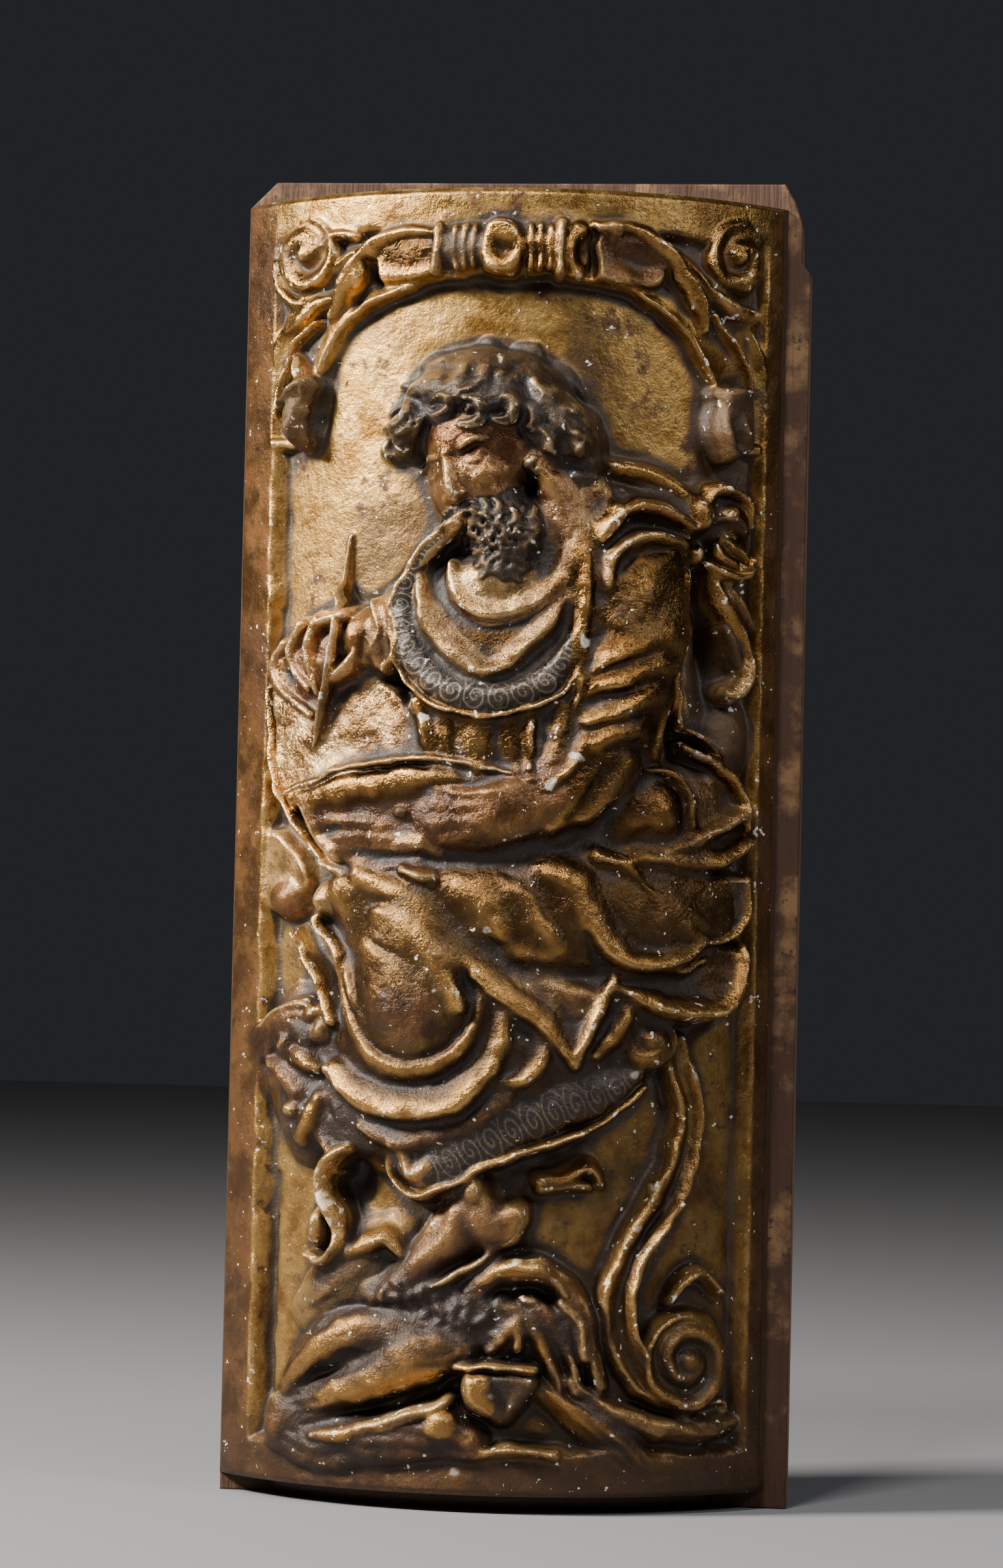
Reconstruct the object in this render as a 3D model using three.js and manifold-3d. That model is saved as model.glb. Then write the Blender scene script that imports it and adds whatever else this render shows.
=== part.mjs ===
// Carved relief panel: a bowed wooden relief of a seated writer with an ox at the feet, set in a raised
// frame under an arch with scrolls, on a flat backing board. Millimetres, +Z up, carved face towards -Y.
import * as THREE from 'three';
import * as BufferGeometryUtils from 'three/addons/utils/BufferGeometryUtils.js';
import Module from 'manifold-3d';

const wasm = await Module();
wasm.setup();

// Driving sizes
const PANEL_CHORD = 308; // straight width of the bowed panel, edge to edge
const PANEL_HEIGHT = 720;
const PANEL_BOW = 74; // how far the face stands forward of its two side edges
const EDGE_THICKNESS = 6; // thickness of the panel at its side edges
const PANEL_LIFT = 10; // lower edge of the carved face above the ground
const FRAME_RISE = 9; // raised border above the sunk ground
const RELIEF_SCALE = 1; // height of the figures against the drawing below
const FOOT_INSET = 16; // low foot under the panel, set back from the sunk ground's curve
const BOARD_THICKNESS = 22;
const BOARD_HEIGHT = 745;
const BOARD_MARGIN = 13; // bare strip of the board past the panel's right edge
const BREAK_DEPTH = 15; // how far the broken top right corner has worn in
const BREAK_HEIGHT = 51; // height of that break
const CORNER_CHAMFER = 15; // worn top left corner of the board
const JOINT_GAP = 0.3; // between the panel's back and the board
const FACE_COLUMNS = 48; // carved facets across the face
const FACE_ROWS = 90; // carved facets up the face

// The carving is drawn on a sheet of this size, which is stretched over the bowed face. Sheet places are
// [across from the middle, up from the ground], and heights are above the sunk ground.
const SHEET_WIDTH = 353;
const SHEET_BOTTOM = 10;
const SHEET_HEIGHT = 720;

// The bow is part of a circle.
const bowRadius = (PANEL_CHORD ** 2 / 4 + PANEL_BOW ** 2) / (2 * PANEL_BOW);
const bowAngle = Math.atan2(PANEL_CHORD / 2, bowRadius - PANEL_BOW);
const bowCentreY = bowRadius - PANEL_BOW - EDGE_THICKNESS;
const groundRadius = bowRadius - FRAME_RISE;

// Carver's cuts. Each takes the height so far at a place on the sheet and gives the new height.

function softMax(low, high, blend) {
  const overlap = Math.max(blend - Math.abs(low - high), 0) / blend;
  return Math.max(low, high) + overlap * overlap * blend / 4;
}

function smoothStep(from, to, value) {
  const t = Math.min(Math.max((value - from) / (to - from), 0), 1);
  return t * t * (3 - 2 * t);
}

// A route through hand-set points [across, up, half width, height], as short straight steps.
function route(points) {
  const stepsPerSpan = 6;
  const line = new THREE.CatmullRomCurve3(points.map((p) => new THREE.Vector3(p[0], p[1], 0)));
  const steps = (points.length - 1) * stepsPerSpan;
  const places = [];
  for (let i = 0; i <= steps; i += 1) {
    const at = line.getPoint(i / steps);
    const span = Math.min(Math.floor(i / stepsPerSpan), points.length - 2);
    const t = i / stepsPerSpan - span;
    const mix = (k) => points[span][k] + (points[span + 1][k] - points[span][k]) * t;
    places.push({ x: at.x, z: at.y, half: mix(2), height: mix(3) });
  }
  return places;
}

// The nearest place on a route: distance, half width and height there.
function nearest(places, x, z) {
  let best = { distance: Infinity, half: 1, height: 0 };
  for (let i = 0; i + 1 < places.length; i += 1) {
    const p = places[i];
    const q = places[i + 1];
    const dx = q.x - p.x;
    const dz = q.z - p.z;
    const along = ((x - p.x) * dx + (z - p.z) * dz) / (dx * dx + dz * dz || 1);
    const t = Math.min(Math.max(along, 0), 1);
    const distance = Math.hypot(x - p.x - t * dx, z - p.z - t * dz);
    if (distance < best.distance) {
      const half = p.half + (q.half - p.half) * t;
      best = { distance, half, height: p.height + (q.height - p.height) * t };
    }
  }
  return best;
}

// A rounded limb, strap or ridge that stands on the ground.
function limb(points, blend = 3) {
  const places = route(points);
  return (x, z, height) => {
    const near = nearest(places, x, z);
    const across = near.distance / near.half;
    if (across >= 1) return height;
    return softMax(height, near.height * Math.sqrt(1 - across * across), blend);
  };
}

// A fold added to whatever lies under it, or a groove where its height is negative.
function fold(points) {
  const places = route(points);
  return (x, z, height) => {
    const near = nearest(places, x, z);
    const across = near.distance / near.half;
    if (across >= 2) return height;
    return height + near.height * Math.exp(-2 * across * across);
  };
}

// A rounded mass: [across, up], half sizes, turn in degrees, height.
function mound([cx, cz], [halfWide, halfHigh], turn, top, blend = 4) {
  const angle = THREE.MathUtils.degToRad(turn);
  return (x, z, height) => {
    const u = ((x - cx) * Math.cos(angle) + (z - cz) * Math.sin(angle)) / halfWide;
    const v = ((z - cz) * Math.cos(angle) - (x - cx) * Math.sin(angle)) / halfHigh;
    const across = Math.hypot(u, v);
    if (across >= 1) return height;
    return softMax(height, top * Math.sqrt(1 - across * across), blend);
  };
}

// A flat or sloping plate: outline corners, height at its upper and at its lower end, edge width.
function plate(outline, upper, lower, edge = 6) {
  const ups = outline.map((p) => p[1]);
  const highest = Math.max(...ups);
  const lowest = Math.min(...ups);
  const rim = route([...outline, outline[0]].map((p) => [p[0], p[1], 1, 0]));
  return (x, z, height) => {
    let inside = false;
    for (let i = 0, j = rim.length - 1; i < rim.length; j = i, i += 1) {
      const crosses = (rim[i].z > z) !== (rim[j].z > z);
      const cut = (rim[j].x - rim[i].x) * (z - rim[i].z) / (rim[j].z - rim[i].z) + rim[i].x;
      if (crosses && x < cut) inside = !inside;
    }
    if (!inside) return height;
    const level = lower + (upper - lower) * (z - lowest) / (highest - lowest);
    return softMax(height, level * smoothStep(0, edge, nearest(rim, x, z).distance), 3);
  };
}

// A scroll: a round boss with a spiral ridge that tightens to a bead.
function scroll([cx, cz], radius, hand, base, ridge) {
  const turns = 1.6;
  const beadShare = 0.28;
  return (x, z, height) => {
    const distance = Math.hypot(x - cx, z - cz);
    if (distance >= radius) return height;
    const angle = hand * Math.atan2(z - cz, x - cx) / (2 * Math.PI);
    const winding = distance / radius * turns - angle;
    const wave = 0.5 + 0.5 * Math.cos(2 * Math.PI * winding);
    const bead = ridge * Math.sqrt(Math.max(1 - (distance / (beadShare * radius)) ** 2, 0));
    const edge = smoothStep(0, 0.25 * radius, radius - distance);
    return softMax(height, base * edge + Math.max(ridge * wave * edge, bead), 2);
  };
}

// Frame, sunk ground and arch

const OPENING = { left: -146, right: 162, bottom: 33, top: 708 };
const FRAME_SLOPE = 7;
const ARCH = { x: 5, z: 592, halfWide: 121, halfHigh: 87, band: 34, squareness: 2.4 };
const ARCH_RISE = 8;
const CONSOLE_DROP = 18; // consoles under the ends of the arch

function frameHeight(x, z) {
  const sides = Math.min(x - OPENING.left, OPENING.right - x);
  const ends = Math.min(z - OPENING.bottom, OPENING.top - z);
  return FRAME_RISE * (1 - smoothStep(0, FRAME_SLOPE, Math.min(sides, ends)));
}

// Distance outside the niche's curved edge, negative inside it.
function pastArch(x, z) {
  const u = Math.abs(x - ARCH.x) / ARCH.halfWide;
  const v = Math.max(z - ARCH.z, 0) / ARCH.halfHigh;
  const share = (u ** ARCH.squareness + v ** ARCH.squareness) ** (1 / ARCH.squareness);
  return (share - 1) * (z > ARCH.z ? Math.min(ARCH.halfWide, ARCH.halfHigh) : ARCH.halfWide);
}

function archHeight(x, z, height) {
  const past = pastArch(x, z);
  if (past < 0 || z < ARCH.z - CONSOLE_DROP) return height;
  const hollow = Math.sin(Math.PI * Math.min(past / ARCH.band, 1));
  const lip = smoothStep(0, 3, past);
  return Math.max(height, lip * (ARCH_RISE - 4 * hollow) * (past < ARCH.band ? 1 : 0.7));
}

function mirrored(points, middle) {
  return points.map(([x, ...rest]) => [2 * middle - x, ...rest]);
}

const ARCH_MIDDLE = 5;
const LEFT_STRAP = [[-34, 700, 6, 13], [-58, 707, 6, 14], [-80, 700, 7, 14], [-92, 682, 8, 12], [-101, 664, 9, 9]];
const LEFT_LEAF = [[-148, 684, 5, 10], [-142, 668, 7, 12], [-132, 661, 8, 13], [-112, 672, 7, 10], [-98, 682, 5, 8]];
const LEFT_SWEEP = [[-84, 703, 4, 10], [-100, 694, 5, 10], [-110, 682, 6, 9], [-122, 668, 6, 9]];
const spoolRings = [-32, -14, 14, 32];

const archParts = [
  limb(LEFT_STRAP),
  limb(mirrored(LEFT_STRAP, ARCH_MIDDLE)),
  limb(LEFT_LEAF),
  limb(mirrored(LEFT_LEAF, 8)),
  limb(LEFT_SWEEP),
  limb(mirrored(LEFT_SWEEP, ARCH_MIDDLE)),
  scroll([-124, 697], 25, 1, 7, 6),
  scroll([139, 698], 25, -1, 7, 6),
  limb([[-38, 694, 13, 14], [44, 694, 13, 14]]),
  plate([[-13, 680], [-13, 711], [14, 711], [14, 680]], 18, 18, 4),
  ...spoolRings.map((at) => limb([[at, 682, 4, 18], [at, 708, 4, 18]])),
  mound([43, 693], [10, 19], 0, 18),
  mound([-130, 600], [18, 26], 0, 20),
  mound([-128, 616], [9, 9], 0, 24),
  mound([139, 602], [20, 27], 0, 20),
  mound([140, 617], [9, 9], 0, 24),
];

// Figure: head, robe, arms and book

const head = [
  mound([-10, 603], [54, 39], 8, 37),
  mound([34, 594], [30, 27], -30, 27),
  mound([-54, 594], [15, 20], 0, 24),
  mound([-24, 566], [31, 30], -20, 36),
  limb([[-34, 580, 6, 38], [-39, 566, 6, 43], [-42, 559, 6, 40]]),
  mound([4, 535], [25, 27], 10, 36),
  mound([8, 524], [17, 17], 0, 37),
  limb([[30, 585, 12, 24], [28, 560, 12, 27], [24, 540, 10, 27]]),
  mound([44, 545], [32, 40], 20, 24),
];
const curls = [[-62, 596], [-52, 614], [-34, 628], [-12, 633], [10, 630], [28, 620], [42, 606], [52, 590],
  [-38, 604], [-16, 610], [6, 606], [24, 600]];

const robe = [
  mound([4, 478], [64, 72], 0, 25),
  mound([82, 512], [42, 42], 0, 27),
  mound([-44, 512], [24, 36], 20, 17),
  limb([[62, 572, 7, 13], [92, 566, 8, 14], [118, 556, 8, 14], [152, 546, 6, 12]]),
  limb([[48, 500, 5, 28], [57, 527, 6, 31], [73, 548, 7, 32], [94, 553, 7, 30], [116, 545, 6, 24]]),
  limb([[-22, 547, 6, 22], [-42, 525, 8, 23], [-54, 500, 9, 24], [-50, 470, 10, 26], [-28, 449, 11, 29],
    [4, 443, 11, 31], [30, 455, 10, 30], [48, 476, 9, 29]]),
  limb([[-30, 520, 5, 25], [-28, 492, 6, 28], [-4, 480, 7, 31], [22, 490, 6, 31], [38, 510, 6, 29]]),
  limb([[-22, 538, 4, 26], [-16, 508, 5, 29], [4, 497, 6, 31], [24, 508, 5, 30]]),
  fold([[-4, 440, 5, 4], [-8, 418, 5, 4], [-12, 400, 5, 3]]),
  fold([[12, 440, 4, 4], [13, 418, 4, 4], [18, 402, 4, 3]]),
  fold([[-34, 446, 5, 3], [-42, 420, 6, 3]]),
  fold([[32, 452, 5, 4], [27, 428, 5, 4], [30, 406, 5, 3]]),
];

const knot = [
  mound([138, 540], [22, 22], 0, 17),
  limb([[124, 560, 5, 16], [140, 564, 6, 19], [156, 556, 5, 15]]),
  limb([[122, 540, 6, 18], [140, 545, 7, 21], [158, 536, 6, 16]]),
  limb([[126, 522, 6, 17], [144, 522, 7, 19], [158, 518, 6, 15]]),
  limb([[128, 512, 7, 15], [140, 490, 8, 16], [148, 466, 8, 13], [152, 455, 6, 12]]),
  limb([[116, 520, 6, 14], [128, 486, 7, 14], [136, 462, 7, 12]]),
];

const rightArm = [
  limb([[84, 512, 28, 30], [82, 470, 28, 34], [74, 432, 26, 34], [64, 408, 22, 34]], 5),
  limb([[110, 520, 7, 20], [107, 480, 7, 22], [103, 445, 7, 20], [94, 420, 7, 18]]),
  limb([[64, 404, 18, 34], [34, 394, 18, 34], [4, 386, 16, 33], [-30, 388, 15, 31], [-70, 388, 13, 28],
    [-104, 384, 9, 24]], 4),
  fold([[100, 494, 5, 5], [76, 484, 5, 6], [54, 462, 5, 5]]),
  fold([[98, 474, 5, 5], [74, 462, 5, 6], [50, 446, 5, 5]]),
  fold([[92, 452, 5, 5], [68, 444, 5, 6], [48, 430, 5, 5]]),
  fold([[84, 508, 5, 4], [64, 492, 5, 5], [50, 478, 5, 4]]),
  limb([[40, 420, 6, 38], [46, 404, 6, 38], [44, 388, 6, 36]]),
];

const leftArm = [
  limb([[-48, 500, 15, 20], [-64, 482, 18, 23], [-84, 482, 15, 24], [-104, 474, 13, 22]], 4),
  limb([[-66, 506, 5, 24], [-58, 484, 6, 27], [-64, 460, 6, 24]]),
  limb([[-92, 500, 6, 24], [-106, 470, 6, 22], [-114, 446, 5, 20], [-110, 420, 4, 18]]),
  limb([[-104, 478, 7, 22], [-122, 462, 6, 18], [-138, 461, 5, 15]]),
  limb([[-86, 488, 6, 24], [-92, 462, 6, 24], [-102, 448, 5, 22]]),
];

const book = [
  plate([[-144, 462], [-120, 474], [-50, 466], [24, 436], [30, 398], [-50, 392], [-124, 386], [-142, 412]],
    13, 20, 8),
  limb([[-144, 440, 4, 14], [-139, 404, 4, 18], [-124, 382, 5, 21], [-104, 362, 5, 22], [-92, 352, 5, 18]]),
  limb([[-104, 372, 10, 22], [-60, 366, 9, 25], [-10, 368, 8, 27]]),
];

// Drapery below the waist

const lap = [
  mound([104, 382], [30, 27], 10, 23),
  mound([118, 328], [42, 48], 0, 17),
  limb([[70, 340, 42, 25], [18, 318, 50, 30], [-38, 290, 50, 36]], 6),
  limb([[60, 290, 36, 24], [20, 258, 42, 27], [-30, 240, 46, 29]], 6),
  mound([-34, 224], [58, 46], 8, 25),
  mound([-96, 335], [22, 26], 0, 20),
  mound([-130, 336], [18, 14], 0, 11),
  mound([-44, 284], [44, 42], 0, 38),
];

const lapFolds = [
  limb([[-58, 346, 9, 34], [-36, 326, 9, 38], [-4, 300, 9, 37], [28, 276, 9, 35], [50, 252, 7, 30]]),
  limb([[-14, 352, 8, 31], [14, 334, 8, 34], [38, 312, 7, 33], [52, 298, 5, 30]]),
  limb([[26, 350, 8, 31], [44, 332, 9, 33], [64, 311, 9, 32], [88, 301, 9, 29], [114, 305, 8, 25], [132, 316, 6, 20]]),
  limb([[76, 288, 6, 25], [100, 279, 8, 26], [130, 276, 9, 22], [151, 288, 7, 18], [153, 310, 5, 14]]),
  limb([[50, 252, 6, 28], [62, 272, 6, 29], [74, 291, 5, 27]]),
  limb([[84, 362, 6, 23], [116, 363, 7, 24], [146, 368, 7, 22], [157, 380, 6, 17], [150, 388, 5, 16]]),
  limb([[52, 364, 6, 27], [82, 352, 7, 24], [106, 336, 8, 21], [130, 318, 9, 18], [152, 326, 8, 15], [157, 348, 6, 13]]),
  fold([[-88, 322, 5, -4], [-72, 315, 5, -5], [-50, 317, 5, -4]]),
  limb([[-86, 262, 6, 29], [-74, 243, 7, 33], [-48, 231, 8, 35], [-18, 242, 8, 35], [4, 262, 7, 32], [8, 280, 6, 28]]),
  limb([[-92, 244, 5, 24], [-72, 227, 7, 29], [-42, 217, 8, 31], [-6, 228, 8, 31], [18, 246, 7, 28], [30, 258, 6, 25]]),
  fold([[-72, 208, 5, 4], [-44, 200, 6, 5], [-14, 206, 6, 4]]),
  fold([[-74, 270, 5, -4], [-66, 252, 5, -6], [-44, 246, 5, -6], [-22, 254, 5, -5], [-12, 268, 5, -3]]),
  limb([[-112, 312, 6, 14], [-100, 288, 6, 16], [-92, 262, 6, 20]]),
];

const hem = [
  limb([[-56, 194, 6, 19], [-49, 180, 8, 22], [-30, 176, 10, 24], [0, 190, 10, 24], [42, 210, 10, 22],
    [74, 224, 9, 20], [92, 238, 6, 15]]),
];

// Chair, feet and ox

const chair = [
  scroll([94, 257], 18, -1, 12, 7),
  limb([[106, 246, 7, 14], [121, 226, 9, 15], [122, 196, 10, 16], [108, 168, 10, 16], [90, 138, 10, 16],
    [82, 108, 10, 15], [92, 78, 10, 14], [116, 58, 9, 12], [146, 54, 7, 9]]),
  scroll([120, 84], 33, -1, 10, 6),
  mound([130, 122], [20, 14], -15, 9),
  limb([[60, 60, 8, 8], [92, 48, 8, 11], [124, 40, 8, 10], [152, 32, 6, 8]]),
];

const feet = [
  limb([[4, 184, 14, 20], [2, 160, 18, 22], [-18, 142, 15, 20], [-42, 127, 11, 15], [-60, 118, 8, 11]], 4),
  limb([[28, 164, 8, 14], [12, 150, 9, 16], [-10, 136, 8, 16]]),
  limb([[34, 184, 7, 12], [54, 190, 8, 14], [72, 184, 6, 10]]),
  limb([[-38, 168, 18, 12], [-46, 146, 12, 10]]),
];

const ox = [
  mound([-118, 246], [34, 42], 0, 14),
  mound([-108, 216], [26, 22], 0, 17),
  limb([[-128, 262, 6, 17], [-104, 272, 7, 19], [-88, 262, 6, 16]]),
  limb([[-84, 206, 8, 18], [-94, 190, 8, 20], [-92, 166, 8, 20], [-94, 148, 9, 19], [-106, 140, 8, 16]]),
  mound([-100, 152], [14, 16], 0, 18),
  limb([[-148, 190, 10, 8], [-146, 130, 12, 9], [-142, 80, 10, 8], [-150, 46, 9, 9]]),
  limb([[-116, 108, 13, 13], [-86, 122, 12, 15], [-54, 142, 10, 12]]),
  mound([-58, 112], [16, 14], 0, 15),
  limb([[12, 136, 8, 14], [38, 134, 9, 16], [60, 116, 10, 16], [74, 88, 9, 14], [92, 68, 6, 10]]),
  mound([10, 112], [48, 26], -5, 13),
  limb([[-14, 98, 15, 20], [-50, 92, 14, 22], [-84, 80, 12, 20], [-116, 66, 10, 15]], 4),
  limb([[-124, 48, 14, 15], [-90, 42, 11, 17], [-50, 45, 10, 18], [-14, 44, 10, 18]], 4),
  limb([[-120, 62, 8, 14], [-134, 54, 10, 15], [-130, 42, 10, 15]]),
  mound([14, 66], [25, 19], 10, 20),
  limb([[36, 66, 6, 11], [58, 62, 9, 12], [84, 52, 8, 11]]),
];
const sill = limb([[0, 34, 4, 12], [64, 33, 4, 12]]);

const cuts = [...ox, ...chair, sill, ...feet, ...lap, ...lapFolds, ...hem, ...robe, ...knot, ...book,
  ...leftArm, ...rightArm, ...head, ...curls.map(([x, z]) => mound([x, z], [9, 9], 0, 0))];

function curlHeight(x, z, height) {
  const reach = 10;
  const rise = 5;
  const near = Math.min(...curls.map(([cx, cz]) => Math.hypot(x - cx, z - cz)));
  return height + rise * Math.max(1 - (near / reach) ** 2, 0);
}

function carvedHeight(x, z) {
  let height = archHeight(x, z, frameHeight(x, z));
  for (const cut of archParts) height = cut(x, z, height);
  const border = height;
  for (const cut of cuts) height = cut(x, z, height);
  height = curlHeight(x, z, height);
  return height > border ? border + (height - border) * RELIEF_SCALE : height;
}

// Carved panel: the bowed face, a wall round its edge, a flat back and the low foot

function solidOf(geometry) {
  const bare = geometry.clone();
  bare.deleteAttribute('normal');
  bare.deleteAttribute('uv');
  const merged = BufferGeometryUtils.mergeVertices(bare, 1e-4);
  return new wasm.Manifold(new wasm.Mesh({
    numProp: 3,
    vertProperties: new Float32Array(merged.attributes.position.array),
    triVerts: new Uint32Array(merged.index.array),
  }));
}

function geometryOf(solid) {
  const { vertProperties, triVerts, numProp } = solid.getMesh();
  const geometry = new THREE.BufferGeometry();
  const places = new Float32Array(vertProperties.length / numProp * 3);
  for (let i = 0; i < places.length / 3; i += 1) {
    for (let k = 0; k < 3; k += 1) places[3 * i + k] = vertProperties[numProp * i + k];
  }
  geometry.setAttribute('position', new THREE.BufferAttribute(places, 3));
  geometry.setIndex(Array.from(triVerts));
  return geometry;
}

function carvedFace() {
  const arc = 2 * bowAngle * bowRadius;
  const face = new THREE.PlaneGeometry(arc, PANEL_HEIGHT, FACE_COLUMNS, FACE_ROWS);
  const place = face.attributes.position;
  const drawn = [];
  for (let i = 0; i < place.count; i += 1) {
    const sheetX = place.getX(i) * SHEET_WIDTH / arc;
    const sheetZ = SHEET_BOTTOM + (place.getY(i) / PANEL_HEIGHT + 0.5) * SHEET_HEIGHT;
    drawn.push(carvedHeight(sheetX, sheetZ));
  }
  const heights = easedHeights(drawn);
  for (let i = 0; i < place.count; i += 1) {
    const angle = place.getX(i) / bowRadius;
    const radius = groundRadius + heights[i];
    const z = PANEL_LIFT + place.getY(i) + PANEL_HEIGHT / 2;
    place.setXYZ(i, radius * Math.sin(angle), bowCentreY - radius * Math.cos(angle), z);
  }
  return { place, heights };
}

// Facets wider than a tool mark can't hold a crisp step, so each height leans towards its neighbours.
function easedHeights(heights) {
  const across = FACE_COLUMNS + 1;
  const share = 0.45;
  return heights.map((height, i) => {
    const column = i % across;
    const row = Math.floor(i / across);
    if (column === 0 || row === 0 || column === FACE_COLUMNS || row === FACE_ROWS) return height;
    const around = heights[i - 1] + heights[i + 1] + heights[i - across] + heights[i + across];
    return height * (1 - share) + around / 4 * share;
  });
}

function panelBody() {
  const { place, heights } = carvedFace();
  const points = Array.from(place.array);
  const faces = [];
  const across = FACE_COLUMNS + 1;
  for (let row = 0; row < FACE_ROWS; row += 1) {
    for (let column = 0; column < FACE_COLUMNS; column += 1) {
      const a = row * across + column;
      const [b, c, d] = [a + 1, a + across, a + across + 1];
      // Each facet pair folds along its flatter diagonal.
      if (Math.abs(heights[a] - heights[d]) < Math.abs(heights[b] - heights[c])) {
        faces.push(a, c, d, a, d, b);
      } else {
        faces.push(a, c, b, b, c, d);
      }
    }
  }
  // The edge of the face, once round: down the left side, along the bottom, up the right, back along the top.
  const rim = [];
  for (let row = 0; row < FACE_ROWS; row += 1) rim.push(row * across);
  for (let column = 0; column < FACE_COLUMNS; column += 1) rim.push(FACE_ROWS * across + column);
  for (let row = FACE_ROWS; row > 0; row -= 1) rim.push(row * across + FACE_COLUMNS);
  for (let column = FACE_COLUMNS; column > 0; column -= 1) rim.push(column);
  const backStart = points.length / 3;
  for (const i of rim) points.push(place.getX(i), -JOINT_GAP, place.getZ(i));
  const middle = points.length / 3;
  points.push(0, -JOINT_GAP, PANEL_LIFT + PANEL_HEIGHT / 2);
  for (let i = 0; i < rim.length; i += 1) {
    const next = (i + 1) % rim.length;
    faces.push(rim[i], backStart + i, backStart + next);
    faces.push(rim[i], backStart + next, rim[next]);
    faces.push(middle, backStart + next, backStart + i);
  }
  const geometry = new THREE.BufferGeometry();
  geometry.setAttribute('position', new THREE.BufferAttribute(new Float32Array(points), 3));
  geometry.setIndex(faces);
  return solidOf(geometry);
}

function panelFoot() {
  const radius = groundRadius - FOOT_INSET;
  const half = Math.acos((bowCentreY + JOINT_GAP) / radius);
  const overlap = 2;
  const plan = new THREE.Shape();
  plan.absarc(0, -bowCentreY, radius, Math.PI / 2 - half, Math.PI / 2 + half, false);
  plan.closePath();
  const foot = new THREE.ExtrudeGeometry(plan, {
    depth: PANEL_LIFT + overlap, bevelEnabled: false, curveSegments: 24,
  });
  foot.rotateX(Math.PI);
  foot.translate(0, 0, PANEL_LIFT + overlap);
  return solidOf(foot);
}

function carvedPanel() {
  const gilding = new THREE.MeshStandardMaterial({ color: 0x9a7438, roughness: 0.45, metalness: 0.55 });
  const panel = new THREE.Mesh(geometryOf(panelBody().add(panelFoot())), gilding);
  panel.name = 'carved_panel';
  return panel;
}

// Backing board: flat, wider at the right and taller than the panel, with worn and broken top corners

function backingBoard() {
  const left = -PANEL_CHORD / 2;
  const right = PANEL_CHORD / 2 + BOARD_MARGIN;
  const breakFoot = BOARD_HEIGHT - BREAK_HEIGHT;
  const stepRise = 6;
  const wear = 0.3; // bulge of the worn slope between the step and the top
  const outline = new THREE.Shape();
  outline.moveTo(left, 0);
  outline.lineTo(right, 0);
  outline.lineTo(right, breakFoot);
  outline.lineTo(right - wear * BREAK_DEPTH, breakFoot + stepRise);
  outline.quadraticCurveTo(right - wear * BREAK_DEPTH, BOARD_HEIGHT - BREAK_HEIGHT * wear,
    right - BREAK_DEPTH, BOARD_HEIGHT);
  outline.lineTo(left + CORNER_CHAMFER, BOARD_HEIGHT);
  outline.lineTo(left, BOARD_HEIGHT - CORNER_CHAMFER);
  outline.closePath();
  const board = new THREE.ExtrudeGeometry(outline, {
    depth: BOARD_THICKNESS, bevelEnabled: false, curveSegments: 6,
  });
  board.rotateX(Math.PI / 2);
  board.translate(0, BOARD_THICKNESS, 0);
  const wood = new THREE.MeshStandardMaterial({ color: 0x5a3d28, roughness: 0.85, metalness: 0 });
  const mesh = new THREE.Mesh(board, wood);
  mesh.name = 'backing_board';
  return mesh;
}

// The pieces share one group, moved so that the middle of their box's underside is the origin.
const relief = new THREE.Group();
relief.add(carvedPanel(), backingBoard());
const box = new THREE.Box3().setFromObject(relief);
relief.position.set(-(box.min.x + box.max.x) / 2, -(box.min.y + box.max.y) / 2, -box.min.z);

export default relief;
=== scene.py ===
import math

import bmesh
import bpy
import numpy as np
from mathutils import Matrix, Vector


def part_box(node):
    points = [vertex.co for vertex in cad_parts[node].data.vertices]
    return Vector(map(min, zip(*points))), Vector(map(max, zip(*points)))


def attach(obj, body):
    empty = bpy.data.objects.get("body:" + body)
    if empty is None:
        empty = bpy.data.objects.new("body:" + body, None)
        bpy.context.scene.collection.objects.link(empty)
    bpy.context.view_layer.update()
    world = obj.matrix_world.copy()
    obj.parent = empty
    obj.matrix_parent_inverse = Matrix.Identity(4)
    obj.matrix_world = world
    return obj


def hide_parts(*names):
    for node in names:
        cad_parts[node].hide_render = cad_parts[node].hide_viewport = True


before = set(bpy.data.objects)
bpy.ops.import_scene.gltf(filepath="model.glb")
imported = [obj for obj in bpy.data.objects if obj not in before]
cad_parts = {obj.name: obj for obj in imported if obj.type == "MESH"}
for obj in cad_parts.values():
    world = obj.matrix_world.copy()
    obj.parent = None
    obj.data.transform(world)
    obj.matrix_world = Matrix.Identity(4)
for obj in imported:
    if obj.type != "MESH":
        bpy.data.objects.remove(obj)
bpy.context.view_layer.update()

# Camera
# A long lens nearly level with the middle of the panel, a little to the right of its middle and turned
# slightly, so that more of the right flank of the bow shows than of the left one.

MM = 0.001
BOARD_LEFT = -154.0
CAMERA_PLACE = Vector((313.7, -2679.7, 304.9))
CAMERA_YAW = math.radians(-6.72)
CAMERA_PITCH = math.radians(2.08)
CAMERA_ROLL = math.radians(1.3)
LENS = 171.07
SENSOR = 36.0
CLIP_END = 50.0

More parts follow.
